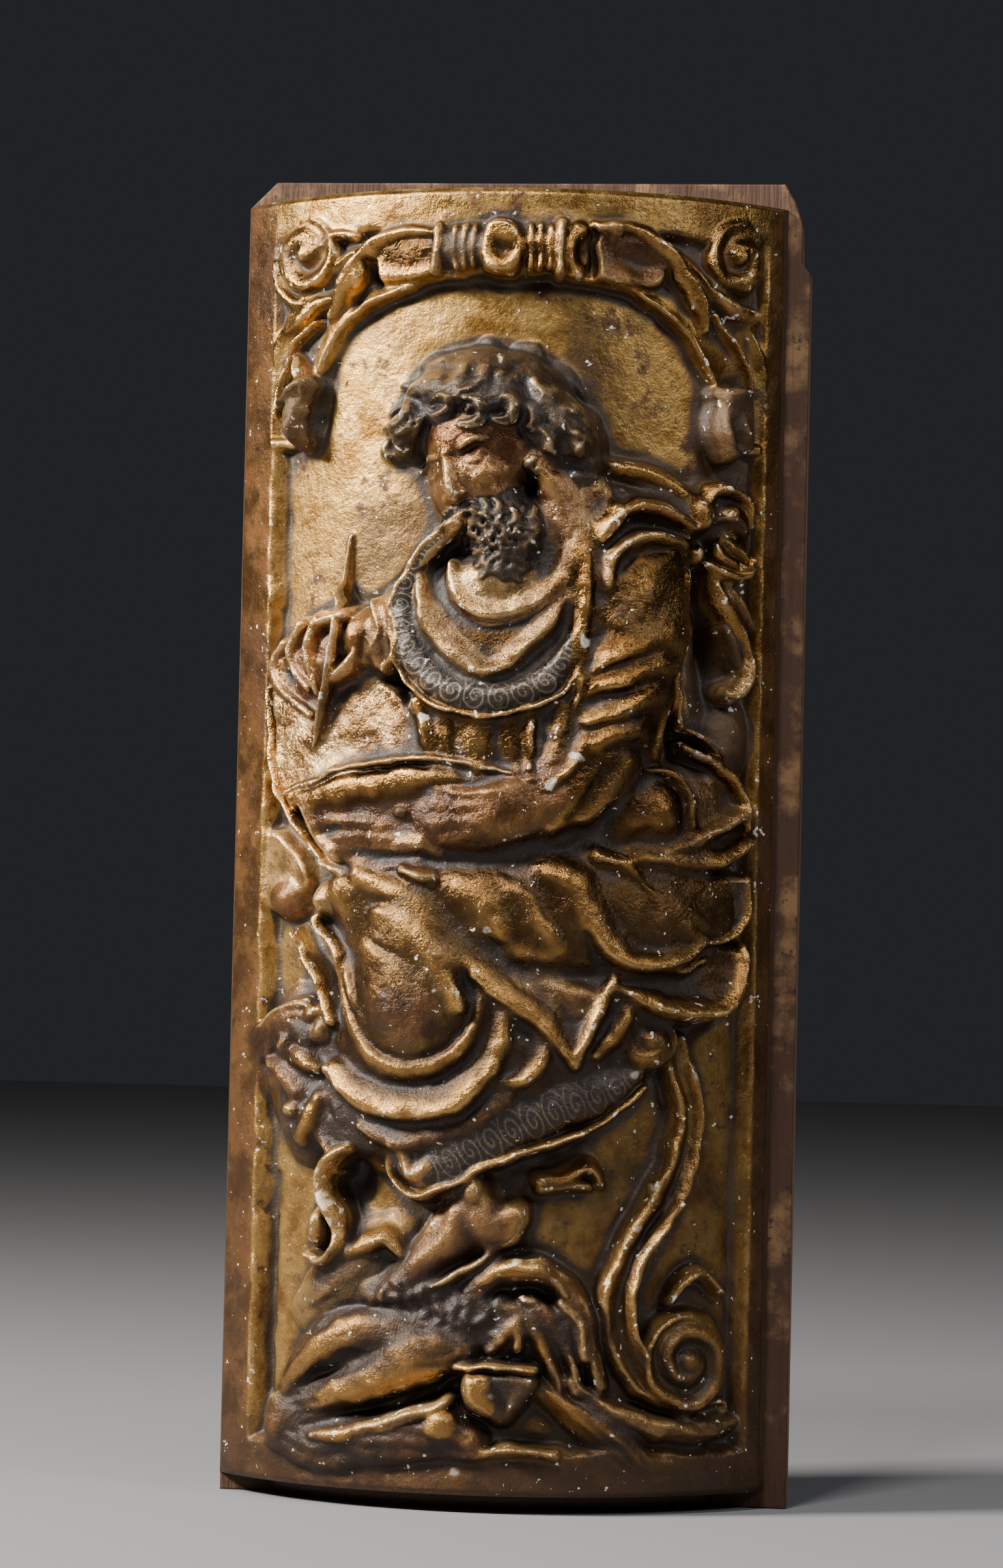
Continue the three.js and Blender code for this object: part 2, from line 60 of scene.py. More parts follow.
board_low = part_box("backing_board")[0]
ORIGIN = Vector((board_low[0] - BOARD_LEFT * MM, board_low[1], board_low[2]))
forward = Vector((math.sin(CAMERA_YAW) * math.cos(CAMERA_PITCH),
                  math.cos(CAMERA_YAW) * math.cos(CAMERA_PITCH),
                  math.sin(CAMERA_PITCH)))
level_right = Vector((math.cos(CAMERA_YAW), -math.sin(CAMERA_YAW), 0.0))
level_up = level_right.cross(forward)
image_right = math.cos(CAMERA_ROLL) * level_right + math.sin(CAMERA_ROLL) * level_up
image_up = math.cos(CAMERA_ROLL) * level_up - math.sin(CAMERA_ROLL) * level_right
camera_data = bpy.data.cameras.new("camera")
camera_data.sensor_fit = "HORIZONTAL"
camera_data.sensor_width = SENSOR
camera_data.lens = LENS
camera_data.dof.use_dof = False
camera_data.clip_end = CLIP_END
camera = bpy.data.objects.new("camera", camera_data)
camera_turn = Matrix((image_right, image_up, -forward)).transposed().to_4x4()
camera.matrix_world = Matrix.Translation(ORIGIN + CAMERA_PLACE * MM) @ camera_turn
bpy.context.scene.collection.objects.link(camera)
bpy.context.scene.camera = camera

# Floor and light
# A plain pale floor, one soft light from the upper left, a weak one from the right, one from above in
# front, and a dim even sky, so that the carving throws its shadows down and to the right.

FLOOR_SIZE = 8.0
FLOOR_COLOUR = (0.24, 0.24, 0.25, 1.0)
FLOOR_ROUGHNESS = 0.9
SKY_COLOUR = (0.8, 0.86, 1.0, 1.0)
SKY_STRENGTH = 0.025
# each light: name, place and aim in millimetres, size in metres, power in watts, tint
LIGHTS = (
    ("key_light", (-1900.0, -1000.0, 1750.0), (0.0, -60.0, 560.0), 0.45, 185.0, (1.0, 0.95, 0.87)),
    ("fill_light", (1500.0, -1100.0, 1500.0), (0.0, -60.0, 560.0), 0.5, 14.0, (0.93, 0.96, 1.0)),
    ("front_light", (-350.0, -1500.0, 2300.0), (0.0, -60.0, 400.0), 0.5, 42.0, (1.0, 0.98, 0.95)),
)

floor_mesh = bpy.data.meshes.new("floor")
floor_bm = bmesh.new()
bmesh.ops.create_grid(floor_bm, x_segments=1, y_segments=1, size=FLOOR_SIZE)
floor_bm.to_mesh(floor_mesh)
floor_bm.free()
floor = bpy.data.objects.new("floor", floor_mesh)
bpy.context.scene.collection.objects.link(floor)
floor_material = bpy.data.materials.new("floor_plain")
floor_material.use_nodes = True
floor_shader = floor_material.node_tree.nodes["Principled BSDF"]
floor_shader.inputs["Base Color"].default_value = FLOOR_COLOUR
floor_shader.inputs["Roughness"].default_value = FLOOR_ROUGHNESS
floor_mesh.materials.append(floor_material)

world = bpy.data.worlds.new("sky")
world.use_nodes = True
sky = world.node_tree.nodes["Background"]
sky.inputs["Color"].default_value = SKY_COLOUR
sky.inputs["Strength"].default_value = SKY_STRENGTH
bpy.context.scene.world = world

for name, place, target, size, power, tint in LIGHTS:
    light_data = bpy.data.lights.new(name, "AREA")
    light_data.size = size
    light_data.energy = power
    light_data.color = tint
    light = bpy.data.objects.new(name, light_data)
    start = ORIGIN + Vector(place) * MM
    aim = ORIGIN + Vector(target) * MM - start
    light.matrix_world = Matrix.Translation(start) @ aim.to_track_quat("-Z", "Y").to_matrix().to_4x4()
    bpy.context.scene.collection.objects.link(light)

# Carved panel
# One bowed block of wood, carved in relief, coated with white ground and red-brown clay and then gilded;
# collar, hem and mantle lining are glazed dark blue, flesh, hair and book are tinted, and all is worn.

# The carving is drawn on a flat sheet in millimetres, laid round the bow afterwards: x runs along the
# bowed face and z is the height above the ground. "height" is how far the wood stands out at each cell of
# the sheet, and "finish" the number of the paint on it. Every form is drawn where it is seen from the
# front, as a stroke of points (x, z, half width, height) or as an oval, and laid over the earlier ones.
SHEET_LEFT, SHEET_RIGHT = -176.7, 176.7
SHEET_BOTTOM, SHEET_TOP = 10.0, 730.0
CELL = 1.0
FRAME_RISE = 9.0
BOW_RADIUS = 197.24
VIEW_TURN = 0.117
GOLD, BLUE, FLESH, HAIR, PALE, BOLE, DARK, CREAM, WHITE = range(9)

columns = int(round((SHEET_RIGHT - SHEET_LEFT) / CELL)) + 1
rows = int(round((SHEET_TOP - SHEET_BOTTOM) / CELL)) + 1
across = np.linspace(SHEET_LEFT, SHEET_RIGHT, columns)
up = np.linspace(SHEET_BOTTOM, SHEET_TOP, rows)
X, Z = np.meshgrid(across, up)
height = np.zeros_like(X)
finish = np.zeros(X.shape, int)
band_along = np.zeros(X.shape)
band_across = np.zeros(X.shape)

ROUTE_STEPS = 8
OUTLINE_STEPS = 6
SHORTEST = 1e-6
LEVEL = 1e-9
THINNEST = 0.3
# forms softer than this rise out of whatever they cross; firmer ones stand on the ground as a body
FIRM = 0.6
FIRM_FORM = 0.5
RISING_SPREAD = 1.35
RISING_GAIN = 0.3
STANDING_GAIN = -0.2
PLATE_BLEND = 3.0
DENT_PAINTED = 0.8


def leaned(x, high):
    """Where a point of the drawing stands: high points seem to lean outwards when seen from the front."""
    return x - (high - FRAME_RISE) * np.tan(x / BOW_RADIUS - VIEW_TURN)


def standing(x, z, field):
    """The height of a field at one point of the drawing."""
    i = min(max(int(round((x - SHEET_LEFT) / CELL)), 0), columns - 1)
    j = min(max(int(round((z - SHEET_BOTTOM) / CELL)), 0), rows - 1)
    return field[j, i]


def smooth_step(start, stop, value):
    """Runs softly from 0 at start to 1 at stop."""
    t = np.clip((value - start) / (stop - start), 0.0, 1.0)
    return t * t * (3.0 - 2.0 * t)


def soft_max(low, high, blend):
    """The higher of two fields, with a rounded joint."""
    overlap = np.maximum(blend - np.abs(low - high), 0.0) / blend
    return np.maximum(low, high) + overlap * overlap * blend / 4.0


def route(points, steps=ROUTE_STEPS):
    """A smooth line through given points; every column is blended alike."""
    points = np.array(points, float)
    padded = np.vstack([2 * points[0] - points[1], points, 2 * points[-1] - points[-2]])
    line = []
    for i in range(1, len(padded) - 2):
        p0, p1, p2, p3 = padded[i - 1:i + 3]
        for t in np.arange(steps) / steps:
            line.append(0.5 * (2 * p1 + (p2 - p0) * t + (2 * p0 - 5 * p1 + 4 * p2 - p3) * t * t
                               + (3 * p1 - p0 - 3 * p2 + p3) * t ** 3))
    line.append(padded[-2])
    return np.array(line)


def window(low_x, high_x, low_z, high_z):
    """The rows and columns of the sheet that cover a rectangle of the drawing."""
    i0, i1 = np.searchsorted(across, [low_x, high_x])
    j0, j1 = np.searchsorted(up, [low_z, high_z])
    return slice(max(j0 - 1, 0), j1 + 1), slice(max(i0 - 1, 0), i1 + 1)


def around(line, margin):
    """The window round a line, with a margin."""
    low, high = line[:, :2].min(axis=0) - margin, line[:, :2].max(axis=0) + margin
    return window(low[0], high[0], low[1], high[1])


def nearest(p, q, x, z):
    """For each cell: the step from p to q, its length, how far along it the cell lies, and the gap."""
    step = q[:2] - p[:2]
    length = max(np.hypot(*step), SHORTEST)
    t = np.clip(((x - p[0]) * step[0] + (z - p[1]) * step[1]) / length ** 2, 0, 1)
    return step, length, t, x - p[0] - t * step[0], z - p[1] - t * step[1]


def follow(points, reach=1.0):
    """For the cells near a stroke: distance, side, half width, height and length along."""
    line = route(points)
    area = around(line, line[:, 2].max() * reach + 2)
    x, z = X[area], Z[area]
    best = np.full(x.shape, np.inf)
    side, half, top, along = (np.zeros(x.shape) for _ in range(4))
    run = 0.0
    for p, q in zip(line[:-1], line[1:]):
        step, length, t, dx, dz = nearest(p, q, x, z)
        distance = np.hypot(dx, dz)
        near = distance < best
        best[near] = distance[near]
        side[near] = np.sign(step[0] * dz - step[1] * dx)[near]
        half[near] = (p[2] + (q[2] - p[2]) * t)[near]
        top[near] = (p[3] + (q[3] - p[3]) * t)[near]
        along[near] = (run + t * length)[near]
        run += length
    return area, best, side, np.maximum(half, THINNEST), top, along


def lay(area, inside, body, blend, paint, gain=STANDING_GAIN):
    """Lays a form on the sheet, paints it where it ends up on top, and tells where that is."""
    old = height[area]
    won = inside & (body > old + gain)
    height[area] = np.where(inside, soft_max(old, body, blend) if blend else body, old)
    finish[area] = np.where(won, paint, finish[area])
    return won


def swell_up(area, inside, top, swell, soft, blend, paint, over):
    """Lays a swelling of the given height: on a base, rising out of what is there, or standing."""
    rising = soft > FIRM
    gain = RISING_GAIN if rising else STANDING_GAIN
    if over is not None:
        return lay(area, inside, over[area] + top * swell, blend, paint, gain)
    if rising:
        old = height[area]
        return lay(area, inside, old + np.maximum(top - old, 0) * swell, 0, paint, gain)
    return lay(area, inside, top * swell, blend, paint, gain)


def limb(points, blend=2.0, lean=0.0, strands=0, groove=0.0, power=2.0, paint=GOLD, over=None, hollow=0.0,
         soft=1.4):
    """A soft swelling ridge; lean moves its crest to one side, strands and hollow cut grooves in it."""
    spread = RISING_SPREAD if soft > FIRM and over is None else 1.0
    placed = []
    for x, z, wide, high in points:
        level = high if over is None else high + standing(x, z, over)
        placed.append([leaned(x, level), z, spread * wide, high])
    area, distance, side, half, top, along = follow(placed)
    share = distance / half * side
    crest = np.where(share > lean, (share - lean) / (1 - lean), (lean - share) / (1 + lean))
    if strands:
        top = top - groove * (0.5 + 0.5 * np.cos(np.pi * (share + 1) * strands + 0.15 * along))
    if hollow:
        top = top - hollow * np.exp(-5 * share * share)
    swell = np.clip(1 - np.abs(crest) ** power, 0, 1) ** soft
    won = swell_up(area, np.abs(share) < 1, top, swell, soft, blend, paint, over)
    if paint == BLUE:
        band_along[area] = np.where(won, along, band_along[area])
        band_across[area] = np.where(won, share, band_across[area])


def rod(points, blend=2.0, **form):
    """A firm round bar standing clear of the ground."""
    limb(points, blend, soft=FIRM_FORM, **form)


def fold(points):
    """Adds to the height along a stroke; a height below zero cuts a furrow."""
    placed = [[leaned(x, standing(x, z, height)), z, wide, high] for x, z, wide, high in points]
    area, distance, side, half, top, along = follow(placed, 2.0)
    share = distance / half
    height[area] += np.where(share < 2, top * np.exp(-2 * share * share), 0)


def oval(centre, sizes, turn, level, reach=1.0, narrow=1.0):
    """The cells near an oval, and how far out each lies: 1 on the oval's rim."""
    middle = leaned(centre[0], level)
    margin = reach * max(sizes) + 1
    area = window(middle - margin, middle + margin, centre[1] - margin, centre[1] + margin)
    x, z = (X[area] - middle) / narrow, Z[area] - centre[1]
    angle = np.radians(turn)
    u = (x * np.cos(angle) + z * np.sin(angle)) / sizes[0]
    v = (z * np.cos(angle) - x * np.sin(angle)) / sizes[1]
    return area, np.hypot(u, v)


def mound(centre, sizes, turn, top, blend=4.0, power=2.0, paint=GOLD, over=None, soft=0.8):
    """An oval swelling, as wide as it is seen from the front."""
    level = top if over is None else top + standing(centre[0], centre[1], over)
    narrow = (leaned(centre[0] + 1, level) - leaned(centre[0] - 1, level)) / 2
    area, share = oval(centre, sizes, turn, level, narrow=narrow)
    swell = np.clip(1 - share ** power, 0, 1) ** soft
    swell_up(area, share < 1, top, swell, soft, blend, paint, over)


def dent(centre, sizes, turn, depth, paint=None):
    """An oval hollow, painted in its middle if a paint is given."""
    area, share = oval(centre, sizes, turn, standing(*centre, height), 2)
    height[area] -= depth * np.exp(-2 * share * share)
    if paint is not None:
        finish[area] = np.where(share * share < DENT_PAINTED, paint, finish[area])


def stain(centre, sizes, turn, paint):
    """Only a change of paint over an oval."""
    area, share = oval(centre, sizes, turn, standing(*centre, height))
    finish[area] = np.where(share < 1, paint, finish[area])


def plate(outline, upper, lower, edge=4.0, paint=GOLD):
    """A flat form with a rounded edge, at the height upper at its top end and lower at its bottom end."""
    highest = max(z for x, z in outline)
    lowest = min(z for x, z in outline)
    slope = (upper - lower) / (highest - lowest)
    placed = [[leaned(x, lower + slope * (z - lowest)), z] for x, z in outline]
    line = route([[x, z, 1, 0] for x, z in placed + placed[:1]], OUTLINE_STEPS)
    area = around(line, 2)
    x, z = X[area], Z[area]
    inside = np.zeros(x.shape, bool)
    rim_gap = np.full(x.shape, np.inf)
    for p, q in zip(line[:-1], line[1:]):
        crosses = (p[1] > z) != (q[1] > z)
        rise = q[1] - p[1]
        cut = (q[0] - p[0]) * (z - p[1]) / (rise if abs(rise) > LEVEL else LEVEL) + p[0]
        inside ^= crosses & (x < cut)
        step, length, t, dx, dz = nearest(p, q, x, z)
        rim_gap = np.minimum(rim_gap, np.hypot(dx, dz))
    level = lower + slope * (z - lowest)
    lay(area, inside, level * smooth_step(0, edge, rim_gap), PLATE_BLEND, paint)


def scroll(centre, radius, hand, base, ridge, turns, start, bead_share):
    """A round volute with a spiral ridge and a bead in its middle; hand is its sense of turning."""
    middle = leaned(centre[0], base + ridge / 2)
    area = window(middle - radius, middle + radius, centre[1] - radius, centre[1] + radius)
    x, z = X[area] - middle, Z[area] - centre[1]
    distance = np.hypot(x, z)
    angle = hand * np.arctan2(z, x) / (2 * np.pi) + start
    wave = 0.5 + 0.5 * np.cos(2 * np.pi * (distance / radius * turns - angle))
    bead = 1.3 * ridge * np.sqrt(np.clip(1 - (distance / (bead_share * radius)) ** 2, 0, 1))
    edge = smooth_step(0, 0.22 * radius, radius - distance)
    lay(area, distance < radius, base * edge + np.maximum(ridge * wave ** 0.8 * edge, bead), 2, GOLD)


# the raised frame, the sunk ground and the arch's moulded band with the corners above it
OPENING_LEFT, OPENING_RIGHT = -147, 162
OPENING_BOTTOM, OPENING_TOP = 32, 708
FRAME_SLOPE = 7
ARCH_MIDDLE = 6
ARCH_FOOT = 594
ARCH_END = 588
ARCH_HALF_WIDTH = 121
ARCH_RISE = 86
ARCH_SCALE = 90
ARCH_ROUNDNESS = 2.35
LIP_WIDTH = 2.5
BAND_WIDTH = 31
BAND_RISE = 11
BAND_DIP = 6.5
BAND_FADE = (30, 36)
CORNER_RISE = 4
sides = np.minimum(X - OPENING_LEFT, OPENING_RIGHT - X)
ends = np.minimum(Z - OPENING_BOTTOM, OPENING_TOP - Z)
height[:] = FRAME_RISE * (1 - smooth_step(0, FRAME_SLOPE, np.minimum(sides, ends)))
u = np.abs(X - ARCH_MIDDLE) / ARCH_HALF_WIDTH
v = np.maximum(Z - ARCH_FOOT, 0) / ARCH_RISE
share = (u ** ARCH_ROUNDNESS + v ** ARCH_ROUNDNESS) ** (1 / ARCH_ROUNDNESS)
past = (share - 1) * np.where(Z > ARCH_FOOT, ARCH_SCALE, ARCH_HALF_WIDTH)
band = (past > 0) & (Z > ARCH_END) & (sides > 0)
outer = smooth_step(*BAND_FADE, past)
moulding = BAND_RISE - BAND_DIP * np.sin(np.pi * np.clip(past / BAND_WIDTH, 0, 1))
arch = smooth_step(0, LIP_WIDTH, past) * moulding * (1 - outer) + outer * CORNER_RISE
height[:] = np.where(band, np.maximum(height, arch), height)

# spool and blocks at the crown
plate([[-74, 676], [-74, 700], [-38, 702], [-38, 680]], 13, 13, 3)
plate([[52, 678], [54, 706], [88, 702], [96, 690], [92, 676], [70, 674]], 13, 13, 3, paint=BOLE)
mound((74, 690), (20, 12), -10, 4, over=np.zeros_like(height))
dent((76, 690), (16, 10), -12, 5)
plate([[52, 704], [52, 712], [69, 712], [69, 704]], 17, 17, 2, paint=PALE)
rod([[-38, 683, 4, 17], [-37, 696, 5, 19], [-36, 708, 4, 18]], paint=PALE)
rod([[-29, 696, 14, 17], [-13, 696, 14, 17]], power=2.6, paint=DARK)
for k in (-26, -21, -16):
    rod([[k, 685, 1.6, 19], [k, 708, 1.6, 19]], 1, paint=PALE)
plate([[-12, 680], [-12, 711], [11, 711], [11, 680]], 21, 21, 4)
dent((1, 694), (6, 7), 0, 9)
rod([[14, 696, 14, 18], [30, 696, 14, 18]], power=2.6)
for k in (16, 22, 28):
    rod([[k, 684, 2, 20], [k, 709, 2, 20]], 1)
rod([[34, 682, 4, 20], [34, 696, 5, 22], [34, 710, 4, 20]], paint=BOLE)
mound((44, 695), (8.5, 17), 0, 20)
dent((46, 694), (4.5, 11), 0, 10)

# scrolled straps and the leaves at their ends
rod([[-36, 704, 4, 16], [-58, 706, 5, 17], [-74, 700, 6, 18], [-86, 688, 8, 18], [-97, 675, 9, 16],
     [-103, 662, 6, 13]], lean=-0.2, hollow=2)
dent((-76, 684), (5, 12), 20, 7)
dent((-88, 670), (8, 6), 40, 5)
rod([[-104, 672, 4, 12], [-118, 668, 6, 13], [-130, 661, 7, 14], [-137, 658, 6, 12]], lean=0.2)
rod([[-88, 704, 3, 12], [-106, 706, 4, 12], [-114, 700, 4, 12]])
scroll((-124, 697), 26, 1, 9, 4.5, turns=1.35, start=0.2, bead_share=0.22)
rod([[-150, 694, 4, 12], [-147, 680, 5, 13], [-136, 671, 5, 13], [-118, 668, 4, 12]])
rod([[52, 709, 4, 17], [76, 708, 5, 17], [94, 698, 6, 18], [108, 682, 8, 18], [118, 667, 8, 16],
     [120, 656, 5, 13]], lean=0.25, hollow=2)
rod([[100, 698, 3, 12], [112, 690, 3.5, 13], [124, 676, 5, 14], [140, 668, 7, 15], [156, 665, 6, 13]],
    lean=0.2)
scroll((141, 698), 24, -1, 9, 4.5, turns=1.3, start=0.55, bead_share=0.26)
rod([[126, 664, 2.5, 13], [140, 650, 2.5, 13], [150, 636, 3, 13], [154, 624, 3, 12]])
rod([[-140, 636, 2.5, 13], [-130, 650, 2.5, 13], [-114, 658, 2.5, 13]])

# consoles that carry the arch
mound((-134, 604), (11, 20), 0, 21, power=3, paint=DARK)
mound((-135, 596), (6, 9), 10, 25, paint=DARK)
limb([[-144, 612, 2, 16], [-136, 620, 4, 23], [-126, 622, 4, 22], [-122, 614, 2.5, 17]], paint=DARK)
limb([[-132, 640, 3, 13], [-131, 630, 5, 18], [-131, 620, 4, 21]], paint=BOLE)
rod([[-146, 606, 2.5, 14], [-144, 625, 2.5, 13], [-138, 640, 2.5, 12]])
plate([[132, 616], [131, 596], [140, 582], [155, 586], [159, 606], [156, 622], [142, 626]], 23, 17, 5,
      paint=DARK)
limb([[134, 614, 2.5, 20], [136, 600, 4, 24], [141, 586, 3, 19]], paint=DARK)
limb([[146, 612, 2, 21], [150, 600, 3, 24], [150, 588, 2, 18]], paint=DARK)
mound((142, 618), (10, 5), -8, 25, paint=DARK)
dent((150, 650), (4, 14), 20, 3)

# the frame's flanks and foot are rubbed down to the clay
FRAME_MARGIN = 1
finish[(sides < -FRAME_MARGIN) | (Z < OPENING_BOTTOM + 2 * FRAME_MARGIN)] = BOLE

# figure: shoulders, mantle, chest and neckline
mound((8, 478), (72, 84), 0, 23)
mound((82, 496), (40, 52), 0, 25, soft=0.65)
mound((4, 478), (50, 52), 0, 29)
limb([[52, 574, 7, 12], [84, 570, 9, 15], [112, 558, 9, 16], [150, 548, 6, 12]], lean=0.3)
limb([[58, 562, 5, 14], [84, 558, 5, 16], [106, 551, 5, 15]], lean=0.3)
plate([[22, 575], [60, 575], [74, 552], [56, 520], [40, 496], [10, 486], [10, 530]], 17, 26, 8,
      paint=PALE)
limb([[50, 566, 8, 21], [50, 546, 8, 24], [46, 524, 8, 28], [38, 506, 7, 30]], lean=-0.2, paint=PALE)
limb([[66, 552, 5, 27], [56, 532, 6, 30], [51, 512, 6, 33], [50, 490, 6, 33], [49, 468, 5, 31],
      [46, 446, 4, 28]], lean=0.3)
fold([[58, 536, 3, -4], [56, 514, 3, -5], [56, 490, 3, -5], [54, 466, 3, -4]])
mound((3, 508), (30, 17), 0, 30, paint=CREAM)
limb([[-24, 520, 3, 27], [-21, 505, 4.5, 31], [-8, 495, 5.5, 34], [8, 494, 5.5, 34], [24, 501, 5, 33],
      [38, 512, 4, 31]], lean=-0.3, paint=CREAM)
fold([[-22, 496, 3, -4], [-8, 487, 3.5, -6], [10, 487, 3.5, -6], [28, 497, 3, -4]])
limb([[-41, 512, 4, 26], [-38, 492, 6, 31], [-24, 474, 7, 34], [-6, 462, 6, 36], [8, 466, 6, 36],
      [24, 481, 6, 34], [40, 500, 5, 31]], lean=-0.35, paint=PALE)
fold([[-46, 506, 3, -4], [-43, 486, 3.5, -6], [-28, 467, 3.5, -8], [-6, 455, 3.5, -8],
      [12, 461, 3.5, -8], [32, 480, 3, -7], [44, 496, 3, -5]])
rod([[-20, 541, 4, 23], [-38, 528, 6, 25], [-50, 510, 7, 26], [-53, 490, 9, 28], [-46, 468, 10, 31],
     [-27, 452, 10, 34], [0, 446, 10, 36], [24, 452, 10, 36], [40, 466, 9, 34], [49, 484, 7, 31]],
    power=3.4, paint=BLUE)
rod([[-18, 545, 3, 24], [-38, 533, 4, 26], [-52, 515, 3.5, 28], [-60, 496, 2.4, 28],
     [-60, 480, 2.2, 29]], 1.5, paint=PALE)
rod([[-60, 482, 2.2, 29], [-54, 460, 2.2, 31], [-34, 443, 2.2, 34], [-2, 436, 2.2, 36],
     [24, 441, 2.2, 37], [44, 455, 2.2, 35], [54, 470, 2, 32]], 1)

# pleats of the robe under the collar
mound((0, 424), (62, 32), 0, 26)
PLEATS = ((-44, -30, 6, 27), (-27, -21, 5, 28.5), (-12, -9, 8, 30), (8, 14, 5, 29), (20, 21, 4, 31),
          (36, 31, 7, 31))
for x0, x1, wide, top in PLEATS:
    limb([[x0, 441, wide, top], [(x0 + x1) / 2 + 1, 424, wide, top], [x1, 403, 0.8 * wide, top - 1]],
         lean=0.4)
for x0, x1, cut in ((-36, -26, 1.2), (-19, -18, 2), (2, 3, 1.6), (15, 19, 2), (28, 24, 1.6)):
    fold([[x0, 438, 2, -cut], [(x0 + x1) / 2, 420, 2.5, -1.3 * cut], [x1, 406, 2, -cut]])

# viewer's right sleeve
limb([[86, 516, 26, 28], [84, 478, 26, 33], [74, 440, 24, 35], [62, 414, 20, 34]], 5, soft=0.7)
limb([[64, 536, 4, 33], [70, 547, 5, 34], [84, 553, 6, 33], [100, 550, 6, 30], [115, 542, 5, 25]],
     lean=0.2)
limb([[64, 510, 4, 33], [68, 526, 4, 35], [80, 535, 4.5, 35], [98, 537, 4.5, 32], [110, 535, 3, 27]],
     paint=PALE)
fold([[62, 518, 3, -4], [68, 536, 3, -6], [84, 544, 3.5, -6], [102, 544, 3, -5]])
fold([[70, 516, 3, -3], [80, 527, 3, -5], [96, 530, 3, -4]])
SLEEVE_FOLDS = (
    ((104, 482, 4, 0.6), (90, 482, 8, 2), (76, 474, 9, 4), (64, 468, 8, 5), (52, 458, 5, 3)),
    ((100, 466, 3, 1), (86, 466, 6, 3), (72, 458, 9, 4.5), (58, 454, 7, 4.5), (48, 442, 4, 2)),
    ((104, 450, 4, 1.5), (86, 450, 8, 3.5), (72, 440, 9, 4.5), (56, 436, 6, 4)),
    ((92, 428, 4, 1.5), (76, 430, 8, 4), (60, 424, 8, 5), (47, 416, 5, 4)),
    ((82, 412, 4, 1.5), (68, 414, 6, 3), (58, 408, 5, 3)),
)
SLEEVE_FURROWS = (
    ((92, 474, 2, -1), (76, 468, 2.5, -4), (60, 460, 2.5, -3)),
    ((90, 457, 2.5, -2), (70, 450, 3, -4), (52, 445, 2.5, -3)),
    ((86, 440, 2, -1), (68, 434, 2.5, -3), (54, 428, 2.5, -3)),
    ((78, 420, 2, -1), (64, 418, 2.5, -2)),
    ((66, 486, 2.5, -2), (58, 474, 3, -4), (54, 464, 3, -3)),
)
base = height.copy()
for points in SLEEVE_FOLDS:
    limb(points, 2, lean=0.3, over=base, soft=1.6)
limb([[96, 530, 12, 1], [84, 512, 16, 4], [76, 492, 12, 2]], 3, over=base, soft=1.2)
for points in SLEEVE_FURROWS:
    fold(points)

# mantle falling behind the arm
limb([[110, 536, 5, 23], [110, 500, 5, 23], [108, 462, 4, 22], [110, 434, 4, 21]])
limb([[106, 480, 4, 23], [100, 448, 5, 23], [94, 418, 5, 23]])
limb([[112, 432, 3, 16], [124, 428, 3, 14], [136, 418, 3, 12]])
# painted shade: the deep hollow of the mantle behind the arm is painted dark
dent((124, 482), (9, 40), 4, 12, paint=DARK)
stain((120, 470), (9, 52), 2, DARK)

# knot of the mantle and its hanging tails
mound((138, 540), (24, 30), 0, 15)
limb([[84, 568, 4, 13], [106, 558, 5, 16], [121, 551, 5, 19]], lean=0.2)
limb([[84, 558, 4, 15], [104, 549, 5, 18], [119, 546, 5, 20]], lean=0.2)
mound((122, 550), (8, 11), -20, 25, soft=0.65)
mound((119, 530), (7, 8), 0, 23, soft=0.65)
rod([[122, 556, 4, 20], [129, 565, 5, 22], [141, 567, 5, 21], [152, 560, 4.5, 19], [156, 549, 3.5, 16]],
    1.5)
rod([[126, 549, 3, 20], [138, 551, 4, 21], [150, 546, 3.5, 18]], 1.5, paint=DARK)
mound((141, 554), (7, 5), 0, 22, paint=PALE)
plate([[123, 541], [136, 544], [152, 538], [159, 526], [152, 519], [136, 520], [125, 528]], 18, 20, 5)
rod([[124, 526, 3, 20], [138, 519, 4, 22], [154, 521, 3.5, 20], [158, 530, 3, 17]], 1.5)
fold([[128, 540, 2, -2], [140, 531, 2.5, -4], [152, 526, 2, -3]])
limb([[124, 520, 5, 16], [133, 506, 7, 18], [146, 491, 7, 17], [152, 480, 4, 15]], lean=0.35)
limb([[134, 518, 3, 14], [145, 505, 6, 16], [156, 494, 4, 13]], lean=0.3, paint=PALE)
limb([[138, 490, 4, 13], [146, 478, 5, 15], [154, 466, 4, 13]], paint=DARK)
limb([[152, 482, 3, 13], [157, 468, 4, 15], [150, 457, 6, 16], [140, 456, 4, 13]], lean=0.3, paint=PALE)
mound((142, 424), (18, 28), -20, 9, paint=DARK)

# waist and the mantle looped round it
mound((112, 384), (44, 34), 0, 16, paint=PALE)
mound((78, 386), (14, 20), 0, 24)
mound((98, 387), (21, 21), 0, 28)
limb([[74, 396, 3, 24], [86, 408, 3.5, 25], [104, 408, 3.5, 25], [118, 396, 3.5, 23], [119, 380, 3, 22]],
     1.5)
limb([[112, 422, 4, 15], [136, 413, 4, 16], [153, 398, 4, 16], [158, 380, 4, 16]])
limb([[104, 366, 3, 22], [124, 373, 4, 23], [144, 382, 4, 22], [157, 388, 4, 18]], 1.5, paint=PALE)
limb([[82, 361, 6, 23], [110, 362, 7, 24], [138, 362, 7, 22], [157, 372, 6, 17]], lean=-0.3)
limb([[98, 424, 4, 19], [94, 412, 5, 20]])

